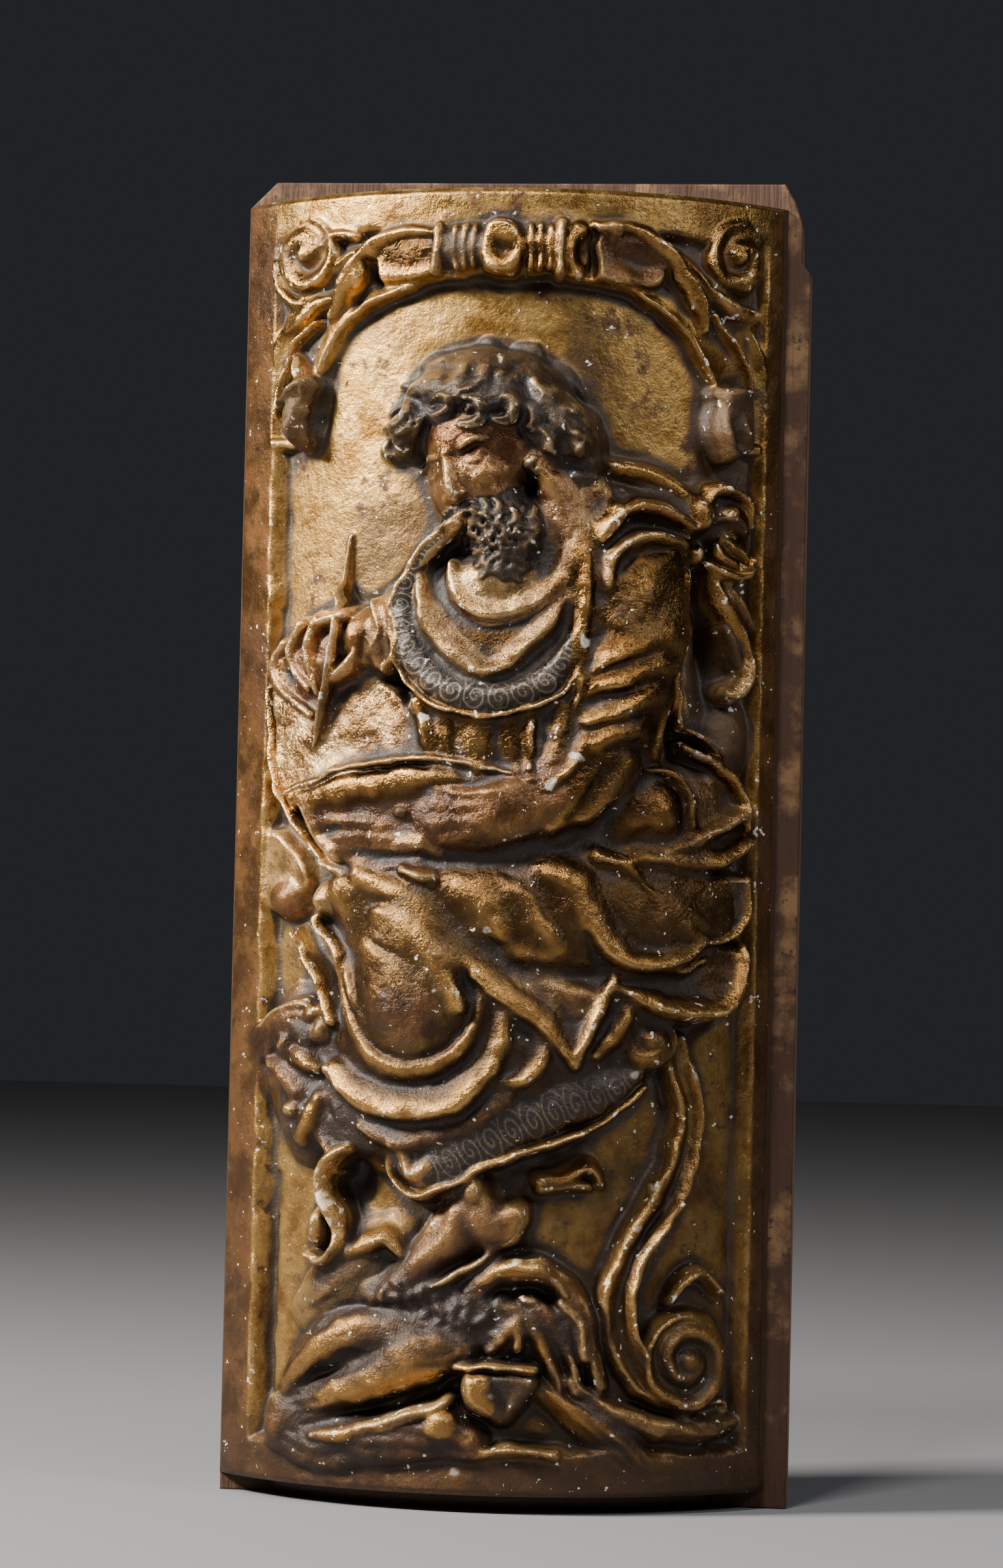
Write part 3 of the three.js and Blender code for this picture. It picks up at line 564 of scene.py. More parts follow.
# dark lining turned out at the viewer's right
plate([[84, 352], [104, 332], [126, 318], [148, 318], [157, 334], [155, 354], [120, 352]], 15, 14, 4,
      paint=BLUE)
limb([[62, 360, 5, 26], [78, 356, 5, 26], [92, 343, 4, 24], [108, 327, 3, 21], [128, 316, 3, 19],
      [148, 318, 3, 18], [158, 332, 3, 17], [156, 352, 3, 15]], 1.5)
dent((112, 349), (26, 6), 4, 6)

# lap and thighs
limb([[92, 334, 40, 21], [28, 322, 50, 28], [-40, 312, 44, 31]], 6, soft=0.7)
limb([[72, 286, 34, 20], [20, 262, 44, 25], [-38, 244, 50, 28]], 6, soft=0.7)
mound((-86, 338), (28, 19), 0, 28)
mound((-104, 334), (11, 12), 0, 25, paint=PALE)
mound((-130, 336), (18, 14), 0, 11, paint=BOLE)
plate([[-146, 378], [-128, 372], [-108, 350], [-116, 330], [-146, 330]], 7, 7, 5, paint=PALE)
mound((0, 326), (54, 28), -16, 31)
mound((94, 328), (44, 18), -16, 25)
plate([[64, 312], [132, 316], [154, 312], [158, 290], [142, 272], [98, 276], [66, 286]], 15, 16, 6)
limb([[2, 292, 9, 27], [30, 285, 12, 28], [60, 279, 9, 27]], lean=0.2, paint=PALE)

# folds across the lap
limb([[-72, 350, 8, 30], [-54, 340, 8, 33], [-36, 325, 6.5, 35.5], [-16, 305, 6, 35.5],
      [6, 289, 6.5, 34.5], [30, 273, 6.5, 32.5], [53, 249, 4.5, 29]], lean=-0.35, soft=1.1)
fold([[-34, 312, 3, -3], [-14, 294, 3.5, -5], [8, 277, 3.5, -5], [30, 262, 3.5, -5], [46, 248, 3, -3]])
fold([[-30, 336, 4, -1], [-8, 317, 6, -4], [14, 302, 7, -5], [36, 286, 6, -4], [50, 268, 4, -2]])
base = height.copy()
limb([[8, 350, 4, 1], [22, 336, 6, 3], [32, 322, 6, 3.5], [40, 310, 4, 2]], lean=0.4, over=base, soft=1.3)
limb([[24, 350, 4, 1], [38, 338, 5, 3], [46, 326, 5, 3], [54, 310, 3, 2]], lean=0.4, over=base, soft=1.3)
limb([[-20, 346, 6, 1], [-4, 334, 9, 2], [8, 320, 8, 2]], lean=0.2, over=base, soft=1.4)
dent((44, 297), (28, 7), -8, 6)
limb([[32, 354, 6, 29], [48, 348, 8, 32], [58, 332, 9, 33], [68, 317, 8, 33], [82, 307, 7, 32],
      [103, 304, 6, 30], [126, 314, 3, 23]], lean=-0.4)
fold([[56, 318, 3, -3], [66, 302, 3.5, -6], [84, 296, 3, -6], [106, 295, 3, -5], [128, 304, 3, -3]])
limb([[72, 291, 3, 26], [92, 284, 5, 28], [114, 278, 6, 29], [137, 278, 6, 28], [151, 287, 5, 25],
      [156, 301, 4, 21], [155, 315, 3, 17]], lean=-0.3)
limb([[72, 297, 2, 24], [92, 298, 3, 24], [112, 300, 3, 23], [128, 306, 2, 20]], lean=-0.2)
limb([[74, 294, 3, 29], [67, 277, 4, 31], [59, 260, 4, 31], [53, 249, 3, 29]], 1.5, lean=-0.3)
limb([[84, 282, 4, 23], [78, 266, 5, 26], [64, 252, 4, 25]], lean=-0.2)
fold([[72, 282, 2.5, -4], [66, 266, 2.5, -5], [58, 254, 2, -3]])

# knee, held by a band of cloth that hangs in two swags
mound((-46, 282), (36, 48), 22, 39, soft=0.75)
limb([[-62, 326, 6, 34], [-46, 318, 7, 38.5], [-30, 302, 7, 39.5], [-18, 280, 6, 38]], lean=0.2, soft=1)
limb([[-106, 322, 5, 20], [-94, 304, 6, 24], [-86, 284, 7, 28], [-76, 262, 7, 31], [-60, 246, 6.5, 34],
      [-40, 241, 6, 35], [-20, 248, 6, 35], [-6, 264, 6, 34], [0, 284, 5, 31]], lean=0.3)
fold([[-84, 308, 3, -3], [-82, 288, 3, -5], [-72, 266, 3, -5], [-56, 251, 2.5, -5], [-36, 248, 2.5, -5],
      [-18, 258, 2.5, -6], [-10, 276, 3, -6], [-12, 296, 3, -6]])
fold([[-64, 312, 3, -2], [-50, 303, 3, -3], [-40, 290, 2.5, -2]])
limb([[-92, 242, 6, 25], [-76, 230, 8, 30], [-54, 223, 9, 34], [-30, 223, 9, 35], [-10, 233, 8, 34],
      [3, 249, 7, 32], [9, 268, 6, 31], [10, 282, 4, 30]], lean=-0.4)
fold([[-88, 252, 3, -2], [-68, 238, 3, -4], [-42, 233, 3, -4], [-18, 240, 3, -4], [-4, 254, 3, -4],
      [2, 272, 3, -3]])
fold([[-82, 222, 3, -3], [-56, 213, 3, -5], [-26, 213, 3, -6], [0, 226, 3, -6], [14, 246, 3, -4]])
limb([[-70, 211, 4, 22], [-50, 204, 6, 26], [-26, 207, 6, 28], [-4, 218, 6, 28], [12, 229, 5, 27]],
     lean=-0.3, paint=BOLE)
limb([[6, 236, 4, 27], [21, 240, 5, 29], [33, 252, 4, 28], [33, 263, 4, 27], [22, 270, 4, 26]], 1.5,
     lean=-0.3)
limb([[-120, 316, 4, 11], [-112, 300, 5, 13], [-100, 284, 5, 16], [-94, 266, 4, 19]])
stain((-46, 272), (18, 15), 0, BOLE)

# hem with its painted band
limb([[-44, 196, 9, 20], [-30, 188, 11, 23], [-8, 198, 11, 25], [18, 211, 11, 24], [44, 222, 11, 22],
      [70, 232, 10, 19], [88, 242, 6, 15]], power=3.5, paint=BLUE)
limb([[-54, 198, 2.5, 19], [-53, 184, 2.5, 22], [-40, 174, 2.5, 25], [-22, 178, 2.5, 27],
      [2, 190, 2.5, 27], [28, 199, 2.5, 26], [54, 209, 2.5, 24], [78, 221, 2.5, 20], [96, 236, 2, 15]], 1)
limb([[-46, 200, 3, 24], [-40, 186, 3, 26], [-30, 190, 3, 26]], 1.5, paint=PALE)

# foot and ankle
limb([[-8, 192, 12, 17], [-6, 174, 14, 21], [2, 160, 16, 22], [14, 158, 13, 19]], soft=0.6, paint=FLESH)
limb([[-6, 176, 13, 20], [-14, 157, 15, 21], [-30, 139, 13, 19], [-48, 124, 10, 16], [-62, 118, 8, 13]],
     soft=0.6, paint=FLESH)
mound((20, 164), (11, 10), 20, 19, paint=FLESH)
limb([[26, 160, 4, 16], [8, 142, 5, 17], [-14, 128, 5, 17], [-36, 117, 5, 15], [-60, 112, 4, 12]],
     lean=-0.3, paint=BOLE)
mound((-5, 178), (6, 7), 0, 25, paint=PALE)
fold([[-16, 172, 3, -2], [-22, 156, 4, -2], [-34, 144, 3, -1]])
base = height.copy()
for k in range(5):
    mound((-46 - 5 * k, 117 - 1.4 * abs(k - 1)), (3.6 - 0.25 * k, 5.5 - 0.4 * k), 35, 3.2, paint=FLESH,
          over=base)
limb([[32, 184, 4, 9], [46, 187, 5, 12], [58, 192, 5, 12], [66, 188, 4, 11], [69, 182, 3, 10]], lean=-0.3)
limb([[34, 180, 4, 9], [50, 182, 4, 10], [62, 180, 3, 9]], lean=-0.3, paint=BOLE)

# scrolled chair
scroll((94, 260), 19, -1, 14, 5, turns=1.25, start=0.3, bead_share=0.36)
rod([[110, 258, 10, 13], [121, 230, 11, 15], [121, 200, 12, 16], [110, 175, 12, 17], [94, 150, 12, 17],
     [82, 126, 11, 16], [80, 104, 10, 15], [88, 84, 9, 14], [104, 68, 8, 13], [128, 57, 7, 11],
     [148, 58, 5, 9]], power=3, hollow=7)
rod([[117, 172, 3.5, 19], [98, 146, 4, 20], [88, 124, 4, 19], [88, 104, 3, 17], [98, 88, 3, 15]], 1.5)
scroll((122, 84), 32, -1, 9, 5, turns=2.2, start=0.35, bead_share=0.2)
rod([[110, 118, 3, 9], [120, 129, 4, 11], [134, 132, 4, 10], [146, 122, 3, 8]], 1.5)

# ox's head
mound((-118, 244), (34, 44), 0, 12, paint=BOLE)
mound((-108, 210), (28, 26), 0, 14, paint=DARK)
for k in range(4):
    limb([[-154 + 3 * k, 258 - 4 * k, 3, 11], [-134 + k, 270 - 4 * k, 3.5, 15],
          [-112, 276 - 6 * k, 3.5, 15], [-103, 268 - 6 * k, 3, 13]], paint=BOLE)
mound((-112, 260), (11, 7), -20, 17, paint=DARK)
mound((-104, 272), (9, 6), 10, 18)
limb([[-122, 250, 4, 15], [-112, 244, 6, 19], [-102, 240, 5, 17]])
mound((-100, 262), (6, 8), 0, 17, paint=PALE)
mound((-121, 217), (7, 6), 0, 19)
limb([[-138, 246, 4, 13], [-128, 236, 6, 18], [-118, 228, 5, 18]], paint=BOLE)
limb([[-100, 206, 4, 15], [-94, 196, 5, 18], [-88, 184, 4, 16]], paint=BOLE)
mound((-128, 254), (6, 5), 20, 18, paint=BOLE)
limb([[-102, 222, 6, 19], [-108, 213, 6, 20], [-113, 201, 4, 17]])
mound((-88, 226), (10, 12), 10, 17, paint=BOLE)
mound((-80, 208), (22, 16), -20, 16, paint=DARK)
for k in range(3):
    limb([[-92 + 9 * k, 232 - 3 * k, 3, 15], [-86 + 9 * k, 220 - 3 * k, 4, 18],
          [-80 + 8 * k, 208 - k, 3, 16]], paint=DARK)
dent((-68, 178), (12, 16), 0, 5, paint=DARK)
mound((-102, 154), (10, 14), -15, 16, paint=PALE)
rod([[-80, 198, 5, 18], [-90, 194, 6, 21], [-98, 184, 6, 22], [-97, 172, 6, 21], [-89, 160, 6, 21],
     [-85, 147, 5.5, 20], [-94, 136, 5, 18], [-107, 138, 3.5, 15]], 1.5)

# cloth and hide between the foot and the ox
mound((-78, 128), (52, 24), 35, 13, paint=PALE)
base = height.copy()
for k in range(7):
    limb([[-116 + 3 * k, 104 + 5 * k, 2.2, 0.6], [-92 + 3 * k, 116 + 5 * k, 2.6, 1.8],
          [-66 + 2 * k, 132 + 4 * k, 2.2, 1]], over=base, paint=PALE)
limb([[-96, 130, 4, 13], [-76, 142, 5, 17], [-56, 150, 5, 18], [-44, 142, 4, 15]], lean=-0.3)
mound((-2, 106), (74, 26), -4, 13, paint=HAIR)
base = height.copy()
for k in range(26):
    x, z = -52 + 4.2 * k, 118 - 0.45 * k + 7 * np.sin(2.4 * k)
    hand = 1 if k % 2 else -1
    rod([[x, z + 4, 2, 1.5], [x + 3.5 * hand, z + 1, 2.6, 3], [x + 2.5 * hand, z - 4, 2.4, 3],
         [x - 2 * hand, z - 5, 1.8, 2]], 1, paint=HAIR, over=base)

# folded forelegs
limb([[-122, 58, 8, 14], [-108, 78, 13, 18], [-84, 90, 14, 20], [-56, 94, 12, 19], [-30, 96, 9, 17]],
     soft=0.7, strands=5, groove=1.6, paint=BOLE)
limb([[-112, 52, 8, 15], [-88, 60, 11, 19], [-60, 72, 13, 21], [-34, 84, 12, 21], [-12, 88, 9, 18]],
     soft=0.7, strands=5, groove=1.6)
limb([[-117, 64, 4, 16], [-100, 85, 6, 21], [-74, 98, 7, 21], [-52, 100, 5, 19]], lean=-0.3, soft=0.8)
limb([[-88, 60, 5, 19], [-64, 72, 7, 22], [-40, 86, 7, 22], [-20, 94, 5, 19]], lean=-0.2, soft=0.8)
fold([[-100, 68, 4, -3], [-78, 78, 5, -4], [-54, 88, 4, -3]])
fold([[-98, 45, 3, -4], [-68, 53, 3, -8], [-36, 66, 3, -8], [-12, 74, 3, -6]])
mound((-126, 44), (17, 18), 30, 18, soft=0.65, paint=BOLE)
limb([[-126, 38, 10, 15], [-98, 35, 12, 18], [-60, 38, 12, 19], [-26, 46, 12, 20], [-4, 40, 9, 17]],
     soft=0.7, strands=4, groove=1.4, paint=BOLE)
limb([[-98, 41, 3, 19], [-66, 45, 4, 21], [-38, 55, 4, 22], [-18, 62, 4, 21]], lean=-0.3, paint=PALE)
mound((-84, 40), (12, 5), 0, 22)
mound((-20, 50), (10, 9), -30, 23)
dent((-80, 30), (12, 4), 0, 4, paint=DARK)

# blunt form in front
plate([[-12, 80], [12, 83], [35, 82], [40, 70], [26, 54], [14, 46], [0, 52], [-10, 68]], 23, 17, 8,
      paint=DARK)
limb([[-12, 80, 2, 21], [12, 82, 2.4, 25], [35, 81, 2, 23]], lean=-0.3)
mound((-2, 66), (11, 15), 20, 24)
fold([[8, 76, 1.5, -1], [14, 62, 2.5, -3], [15, 48, 2, -2]])
limb([[8, 90, 3, 15], [20, 104, 4, 18], [24, 92, 3, 16]], paint=PALE)

# curved hind leg with its hair
limb([[-2, 122, 5, 15], [14, 133, 7, 19], [38, 133, 7, 20], [56, 118, 7, 19], [66, 94, 6, 17],
      [71, 72, 5, 14]], soft=0.9, lean=-0.2, strands=3, groove=1.5, paint=BOLE)
limb([[2, 128, 3, 17], [16, 136, 4, 22], [36, 136, 4, 21]], lean=-0.2)
limb([[26, 118, 4, 15], [42, 108, 6, 17], [53, 90, 6, 16], [58, 70, 4, 13]], paint=BOLE)
limb([[14, 112, 4, 14], [30, 104, 5, 16], [42, 86, 5, 15], [47, 70, 3, 12]])
limb([[46, 118, 2, 19], [57, 104, 2.5, 21], [62, 86, 2.5, 19]], paint=PALE)

# lower sweeps of the chair
limb([[36, 68, 6, 12], [58, 55, 8, 15], [82, 38, 10, 15], [102, 28, 8, 12], [140, 25, 6, 9]], lean=0.3,
     strands=4, groove=1.5)
limb([[52, 72, 4, 13], [82, 54, 8, 16], [120, 45, 7, 15], [155, 48, 5, 10]], lean=0.3, strands=3,
     groove=1.5, paint=PALE)
limb([[-4, 32, 3, 13], [20, 35, 3.5, 15], [46, 33, 3, 13]], lean=0.2)
mound((-148, 110), (9, 70), 0, 6, paint=BOLE)
fold([[-128, 180, 3, -2], [-130, 120, 4, -2], [-130, 60, 3, -2]])

# book, its cover and pages, and the forearm and hand that lie on it
plate([[-148, 470], [-122, 476], [-80, 468], [-54, 456], [-40, 436], [-30, 410], [-60, 402], [-100, 394],
       [-126, 386], [-142, 410]], 13, 21, 6, paint=CREAM)
rod([[-148, 452, 2.5, 13], [-145, 424, 3, 16], [-139, 402, 3, 19], [-126, 380, 3, 22],
     [-106, 360, 3.5, 23], [-90, 350, 3, 21]], 1)
plate([[-132, 394], [-102, 403], [-76, 409], [-42, 412], [-6, 408], [26, 401], [34, 374], [-10, 354],
       [-60, 350], [-92, 352], [-112, 366]], 28, 24, 6, paint=BOLE)
limb([[-124, 388, 5, 24], [-102, 392, 6, 29], [-70, 398, 7, 31], [-38, 400, 7, 31], [0, 396, 6, 31]],
     soft=0.9)
rod([[-130, 393, 2, 24], [-102, 404, 2.4, 29], [-76, 410, 2.4, 31], [-42, 413, 2.4, 32],
     [-6, 409, 2.4, 32], [24, 401, 2, 31]], 1, paint=PALE)
for k in range(4):
    limb([[-108 + 9 * k, 376 - 7 * k, 3, 26], [-86 + 9 * k, 378 - 8 * k, 4, 29.5 - k],
          [-60 + 7 * k, 376 - 7 * k, 3, 28]], 1, paint=BOLE)
mound((-52, 384), (5, 4), 0, 33, paint=DARK)
dent((-96, 372), (14, 4), 20, 3, paint=DARK)
dent((-60, 360), (20, 4), -4, 4, paint=DARK)
limb([[-104, 370, 4, 25], [-96, 362, 5, 27], [-90, 358, 3, 25]], 1.5, paint=PALE)
limb([[-102, 354, 3, 23], [-88, 350, 3, 24]], 1, paint=PALE)
limb([[66, 408, 15, 33], [40, 392, 18, 36], [8, 382, 17, 36], [-24, 378, 14, 32]], soft=0.7, paint=BOLE)
fold([[66, 384, 3, -3], [40, 372, 4, -6], [8, 362, 4, -6], [-24, 362, 3, -4]])
fold([[40, 410, 2, -2], [14, 402, 3, -4], [-12, 398, 3, -4], [-30, 398, 2, -3]])
base = height.copy()
for k, (x2, z2, wide) in enumerate(((-20, 395, 4.4), (-30, 387, 4.8), (-32, 377, 4.6), (-24, 368, 4.0))):
    limb([[18, 393 - 6 * k, wide, 0.6], [4, 395 - 7 * k, wide + 1, 1.5],
          [-10, 394 - 7.5 * k, wide + 0.6, 1.8], [x2, z2, wide, 1.6]], 1, paint=BOLE, over=base, soft=1.1)
limb([[-52, 366, 4, 28], [-40, 366, 5, 31], [-30, 363, 4, 29]], 1.5, paint=PALE)
limb([[-50, 351, 3, 33], [-40, 347, 4, 37], [-32, 347, 3, 34]], 1, paint=BOLE)
dent((-34, 394), (4, 4), 0, 3, paint=DARK)
rod([[54, 426, 5, 36], [47, 412, 6, 38], [38, 401, 6, 37], [26, 394, 4, 35]], 1.5)
limb([[62, 420, 5, 36], [56, 406, 6, 37], [46, 392, 6, 36], [34, 380, 5, 34]], 1.5)
limb([[72, 414, 5, 34], [68, 400, 6, 35], [58, 384, 6, 33]])
fold([[64, 412, 2, -3], [56, 396, 2.5, -4], [44, 382, 2.5, -3]])

# writing hand with its pen
limb([[-50, 502, 9, 20], [-62, 494, 12, 24], [-68, 478, 12, 26], [-66, 466, 7, 23]], paint=PALE, soft=0.8)
rod([[-62, 500, 3, 26], [-57, 486, 3, 30], [-57, 473, 3, 30], [-63, 462, 3, 26]], 1, paint=PALE)
rod([[-73, 500, 2.5, 24], [-68, 488, 2.6, 28], [-68, 477, 2.6, 28], [-76, 464, 2.5, 24]], 1, paint=PALE)
mound((-104, 472), (34, 26), 22, 20, paint=FLESH)
mound((-84, 480), (14, 19), -15, 29, soft=0.6, paint=FLESH)
rod([[-80, 472, 7, 27], [-88, 464, 7, 29], [-97, 458, 6, 28], [-103, 453, 4.5, 25]], 1.5, paint=FLESH)
rod([[-92, 492, 6, 25], [-104, 490, 6, 26], [-112, 487, 5.5, 25]], 1.5, paint=FLESH)
rod([[-110, 490, 7, 25], [-117, 474, 6.5, 26], [-112, 459, 5.5, 25], [-108, 450, 4.5, 24]], 1.5,
    paint=FLESH)
rod([[-122, 488, 6, 20], [-130, 474, 6.5, 21], [-126, 463, 5.5, 21], [-114, 452, 5, 22]], 1.5,
    paint=FLESH)
rod([[-134, 478, 5, 15], [-144, 465, 6, 16], [-138, 454, 6, 17], [-128, 447, 5.5, 19],
     [-112, 437, 4.5, 22]], 1.5, paint=FLESH)
dent((-125, 459), (6, 3.5), -40, 5, paint=DARK)
rod([[-88, 537, 1, 5], [-91, 520, 1.6, 8], [-94, 506, 2, 13], [-98, 486, 2.6, 29], [-102, 462, 3, 31],
     [-106, 440, 3.4, 26], [-109, 425, 3.4, 24], [-110, 417, 2, 21]], 0.5, paint=BOLE)

# head: a plain oval turned down and to the viewer's left, with lids, brows, cheeks, nose and lips
mound((-6, 604), (60, 37), -6, 33, paint=HAIR)
mound((36, 592), (34, 26), -34, 27, paint=HAIR)
mound((-55, 594), (13, 18), 8, 24, paint=HAIR)
mound((-15, 570), (36, 40), 20, 35, blend=3, paint=FLESH)
mound((5, 538), (24, 26), 12, 34, blend=3, paint=HAIR)
limb([[22, 576, 6, 28], [34, 560, 8, 25], [40, 540, 8, 25]], paint=FLESH)
base = height.copy()
FACE_TURN = 21
TILT = np.radians(FACE_TURN)
FACE_MIDDLE = (-15, 566)
MIDLINE = -8
EYE_LINE = 12
NEAR_EYE = 7
FAR_EYE = -18


def face_at(aside, above, *rest):
    """A point given in the tilted head's own directions, as a place on the drawing."""
    x = FACE_MIDDLE[0] + aside * np.cos(TILT) - above * np.sin(TILT)
    z = FACE_MIDDLE[1] + aside * np.sin(TILT) + above * np.cos(TILT)
    return [x, z, *rest]


mound(face_at(MIDLINE + 4, 25), (24, 9), FACE_TURN, 2.5, paint=FLESH, over=base)
for eye, wide in ((FAR_EYE, 6.5), (NEAR_EYE, 9)):
    dent(face_at(eye, EYE_LINE), (wide, 6), FACE_TURN, 5)
dent(face_at(18, -8), (6, 14), 12, 2.5)
base = height.copy()
for eye, wide in ((FAR_EYE, 4.6), (NEAR_EYE, 6.6)):
    mound(face_at(eye, EYE_LINE - 0.5), (wide, 4.2), FACE_TURN, 4.4, blend=1, paint=FLESH, over=base)
    limb([face_at(eye - wide, EYE_LINE - 1.8, 1.2, 1.2), face_at(eye, EYE_LINE - 4, 1.6, 3),
          face_at(eye + wide, EYE_LINE - 1.5, 1.2, 1.2)], 0.6, paint=FLESH, over=base)
    limb([face_at(eye - wide - 1, EYE_LINE + 4, 2.0, 1.4), face_at(eye, EYE_LINE + 7.5, 2.8, 3.8),
          face_at(eye + wide + 2, EYE_LINE + 4.5, 2.0, 1.4)], 1, paint=FLESH, over=base)
for cheek, wide, rise in ((FAR_EYE + 1, 6, 1.6), (NEAR_EYE + 4, 12, 2.6)):
    mound(face_at(cheek, -5), (wide, 9), FACE_TURN, rise, blend=3, paint=FLESH, over=base)
base = height.copy()
limb([face_at(MIDLINE, 17, 3.6, 2.4), face_at(MIDLINE - 2, 7, 4.0, 6.5),
      face_at(MIDLINE - 4.5, -4, 5.0, 10.5)], 1.5, lean=-0.25, paint=FLESH, over=base)
mound(face_at(MIDLINE - 4.5, -5.5), (5, 4.2), FACE_TURN, 10.5, blend=1.5, paint=FLESH, over=base)
for side in (-4, 4.5):
    mound(face_at(MIDLINE - 3.5 + side, -6), (3, 2.8), FACE_TURN, 4.4, blend=1, paint=FLESH, over=base)
base = height.copy()
limb([face_at(MIDLINE - 9, -17.5, 1.4, 1.2), face_at(MIDLINE - 3, -16.2, 2, 2.6),
      face_at(MIDLINE + 6, -18, 1.4, 1.2)], 0.6, paint=FLESH, over=base)
limb([face_at(MIDLINE - 7, -20.5, 1.5, 1.2), face_at(MIDLINE - 3, -21.2, 2.2, 2.6),
      face_at(MIDLINE + 5, -20.6, 1.5, 1.2)], 0.6, paint=FLESH, over=base)


def lock(points, wide, rise, over, strands=3):
    """A wavy lock of hair, thick in the middle and tapering, lined with a few strands."""
    last = len(points) - 1
    shaped = []
    for k, (x, z) in enumerate(points):
        full = np.sin(np.pi * (0.18 + 0.74 * k / last))
        shaped.append([x, z, wide * full, rise * (0.55 + 0.45 * full)])
    limb(shaped, 0.8, strands=strands, groove=0.25 * rise, paint=HAIR, over=over, soft=0.75)


def wavy(start, finish, sway, waves, phase=0.0, count=7):
    """Points from start to finish that sway from side to side."""
    start = np.array(start, float)
    run = np.array(finish, float) - start
    across_run = np.array([-run[1], run[0]]) / np.hypot(*run)
    return [start + run * t + across_run * sway * np.sin(2 * np.pi * waves * t + phase)
            for t in np.linspace(0, 1, count)]


# cap of wavy locks that part from the crown and end in a thick rolled fringe
base = height.copy()
CROWN = (10, 628)
CROWN_SIZE = (9, 5)
CAP_MIDDLE = (-4, 598)
CAP_SIZE = (60, 43)
CAP_LOCKS = 13
CAP_START = -28
CAP_SWEEP = 212
CAP_LOWEST = -0.35
for k in range(CAP_LOCKS):
    angle = np.radians(CAP_START + CAP_SWEEP * k / (CAP_LOCKS - 1))
    rim_x = CAP_MIDDLE[0] + CAP_SIZE[0] * np.cos(angle)
    rim_z = CAP_MIDDLE[1] + CAP_SIZE[1] * max(np.sin(angle), CAP_LOWEST)
    outer = (rim_x, rim_z)
    inner = (CROWN[0] + CROWN_SIZE[0] * np.cos(angle), CROWN[1] + CROWN_SIZE[1] * np.sin(angle))
    lock(wavy(inner, outer, 3.5 * (-1) ** k, 0.9, 0.4 * k), 8, 4.5, base)
base = height.copy()
FRINGE_LOCKS = ((2, 622, -14, 600, 5), (-8, 626, -34, 604, 6), (-20, 628, -50, 606, 5),
                (-34, 622, -62, 596, -5), (12, 622, 6, 598, -4), (22, 620, 22, 592, 4),
                (30, 616, 38, 588, -5), (36, 606, 52, 580, 5), (22, 606, 30, 578, -4),
                (44, 592, 60, 573, 3), (-52, 604, -56, 578, 4))
for x, z, x2, z2, sway in FRINGE_LOCKS:
    lock(wavy((x, z), (x2, z2), sway, 0.8), 7, 6, base)
base = height.copy()
CURLS = ((-18, 602, 30, 9), (-36, 606, 0, 8), (-52, 600, -40, 8), (2, 604, 20, 8), (14, 600, 80, 8),
         (-58, 586, -80, 7), (24, 588, 70, 7), (42, 586, 30, 7))
CURL_SWEEP = (-2.4, 1.2)
CURL_POINTS = 7
CURL_FLATTENING = 0.8
for x, z, turn, size in CURLS:
    bend = np.radians(turn)
    turns = bend + np.linspace(*CURL_SWEEP, CURL_POINTS)
    arc = [(x + size * np.cos(t), z + CURL_FLATTENING * size * np.sin(t)) for t in turns]
    lock(arc, 4.5, 5, base, 2)

# moustache and beard of short turning tufts
base = height.copy()
for side in (-1, 1):
    for k in range(3):
        lock([face_at(MIDLINE - 3 + 2 * side, -12.5 - k), face_at(MIDLINE - 3 + 8 * side, -13.5 - 2 * k),
              face_at(MIDLINE - 3 + 14 * side, -19 - 3 * k)], 2.6, 3.4, base, 2)
base = height.copy()
GOLDEN_ANGLE = np.pi * (3 - np.sqrt(5))
BEARD_TUFTS = 46
BEARD_MIDDLE = (6, 534)
BEARD_SIZE = 22
BEARD_TOP = 548
BEARD_SIDE = 17
for k in range(BEARD_TUFTS):
    reach = BEARD_SIZE * np.sqrt((k + 0.5) / BEARD_TUFTS)
    x = BEARD_MIDDLE[0] + reach * np.cos(k * GOLDEN_ANGLE)
    z = BEARD_MIDDLE[1] + reach * np.sin(k * GOLDEN_ANGLE)
    if z < BEARD_TOP - 0.3 * (x - BEARD_MIDDLE[0]) or x > BEARD_SIDE:
        hand = 1 if k % 2 else -1
        lock([(x, z + 5), (x + 2.4 * hand, z + 2), (x + 1.8 * hand, z - 2), (x - 1.2 * hand, z - 3.4),
              (x - 1.4 * hand, z - 0.6)], 2.6, 4.2, base, 0)
for k in range(6):
    lock([(21 + 2 * (k % 2), 578 - 6 * k), (18 + 2 * (k % 2), 574 - 6 * k), (22, 569 - 6 * k)], 3.4, 4,
         base, 2)

# larger losses down to the white ground
LOSSES = (((48, 416), (4.5, 2.2), -25), ((43, 409), (3.4, 2), -60), ((39, 402), (3, 1.7), -35),
          ((33, 398), (2.8, 1.5), -15), ((-37, 435), (4, 2.5), 0), ((-24, 431), (2, 1.5), 0),
          ((52, 478), (5, 2.5), 20), ((-106, 361), (6, 3), 10), ((-37, 221), (3, 2), 0),
          ((-33, 196), (4, 3), 20), ((-11, 22), (4, 3.5), 0), ((70, 200), (4, 3), 0),
          ((60, 188), (3, 2), 0), ((-90, 214), (3, 2), 0), ((118, 250), (3, 4), 0),
          ((130, 204), (2, 4), 0), ((88, 424), (4, 2), 20), ((-30, 286), (2, 1.5), 0),
          ((-52, 104), (4, 2), 20), ((-120, 66), (4, 2), 40), ((8, 66), (2, 2), 0),
          ((-96, 300), (2, 4), 0))
for centre, sizes, turn in LOSSES:
    stain(centre, sizes, turn, WHITE)


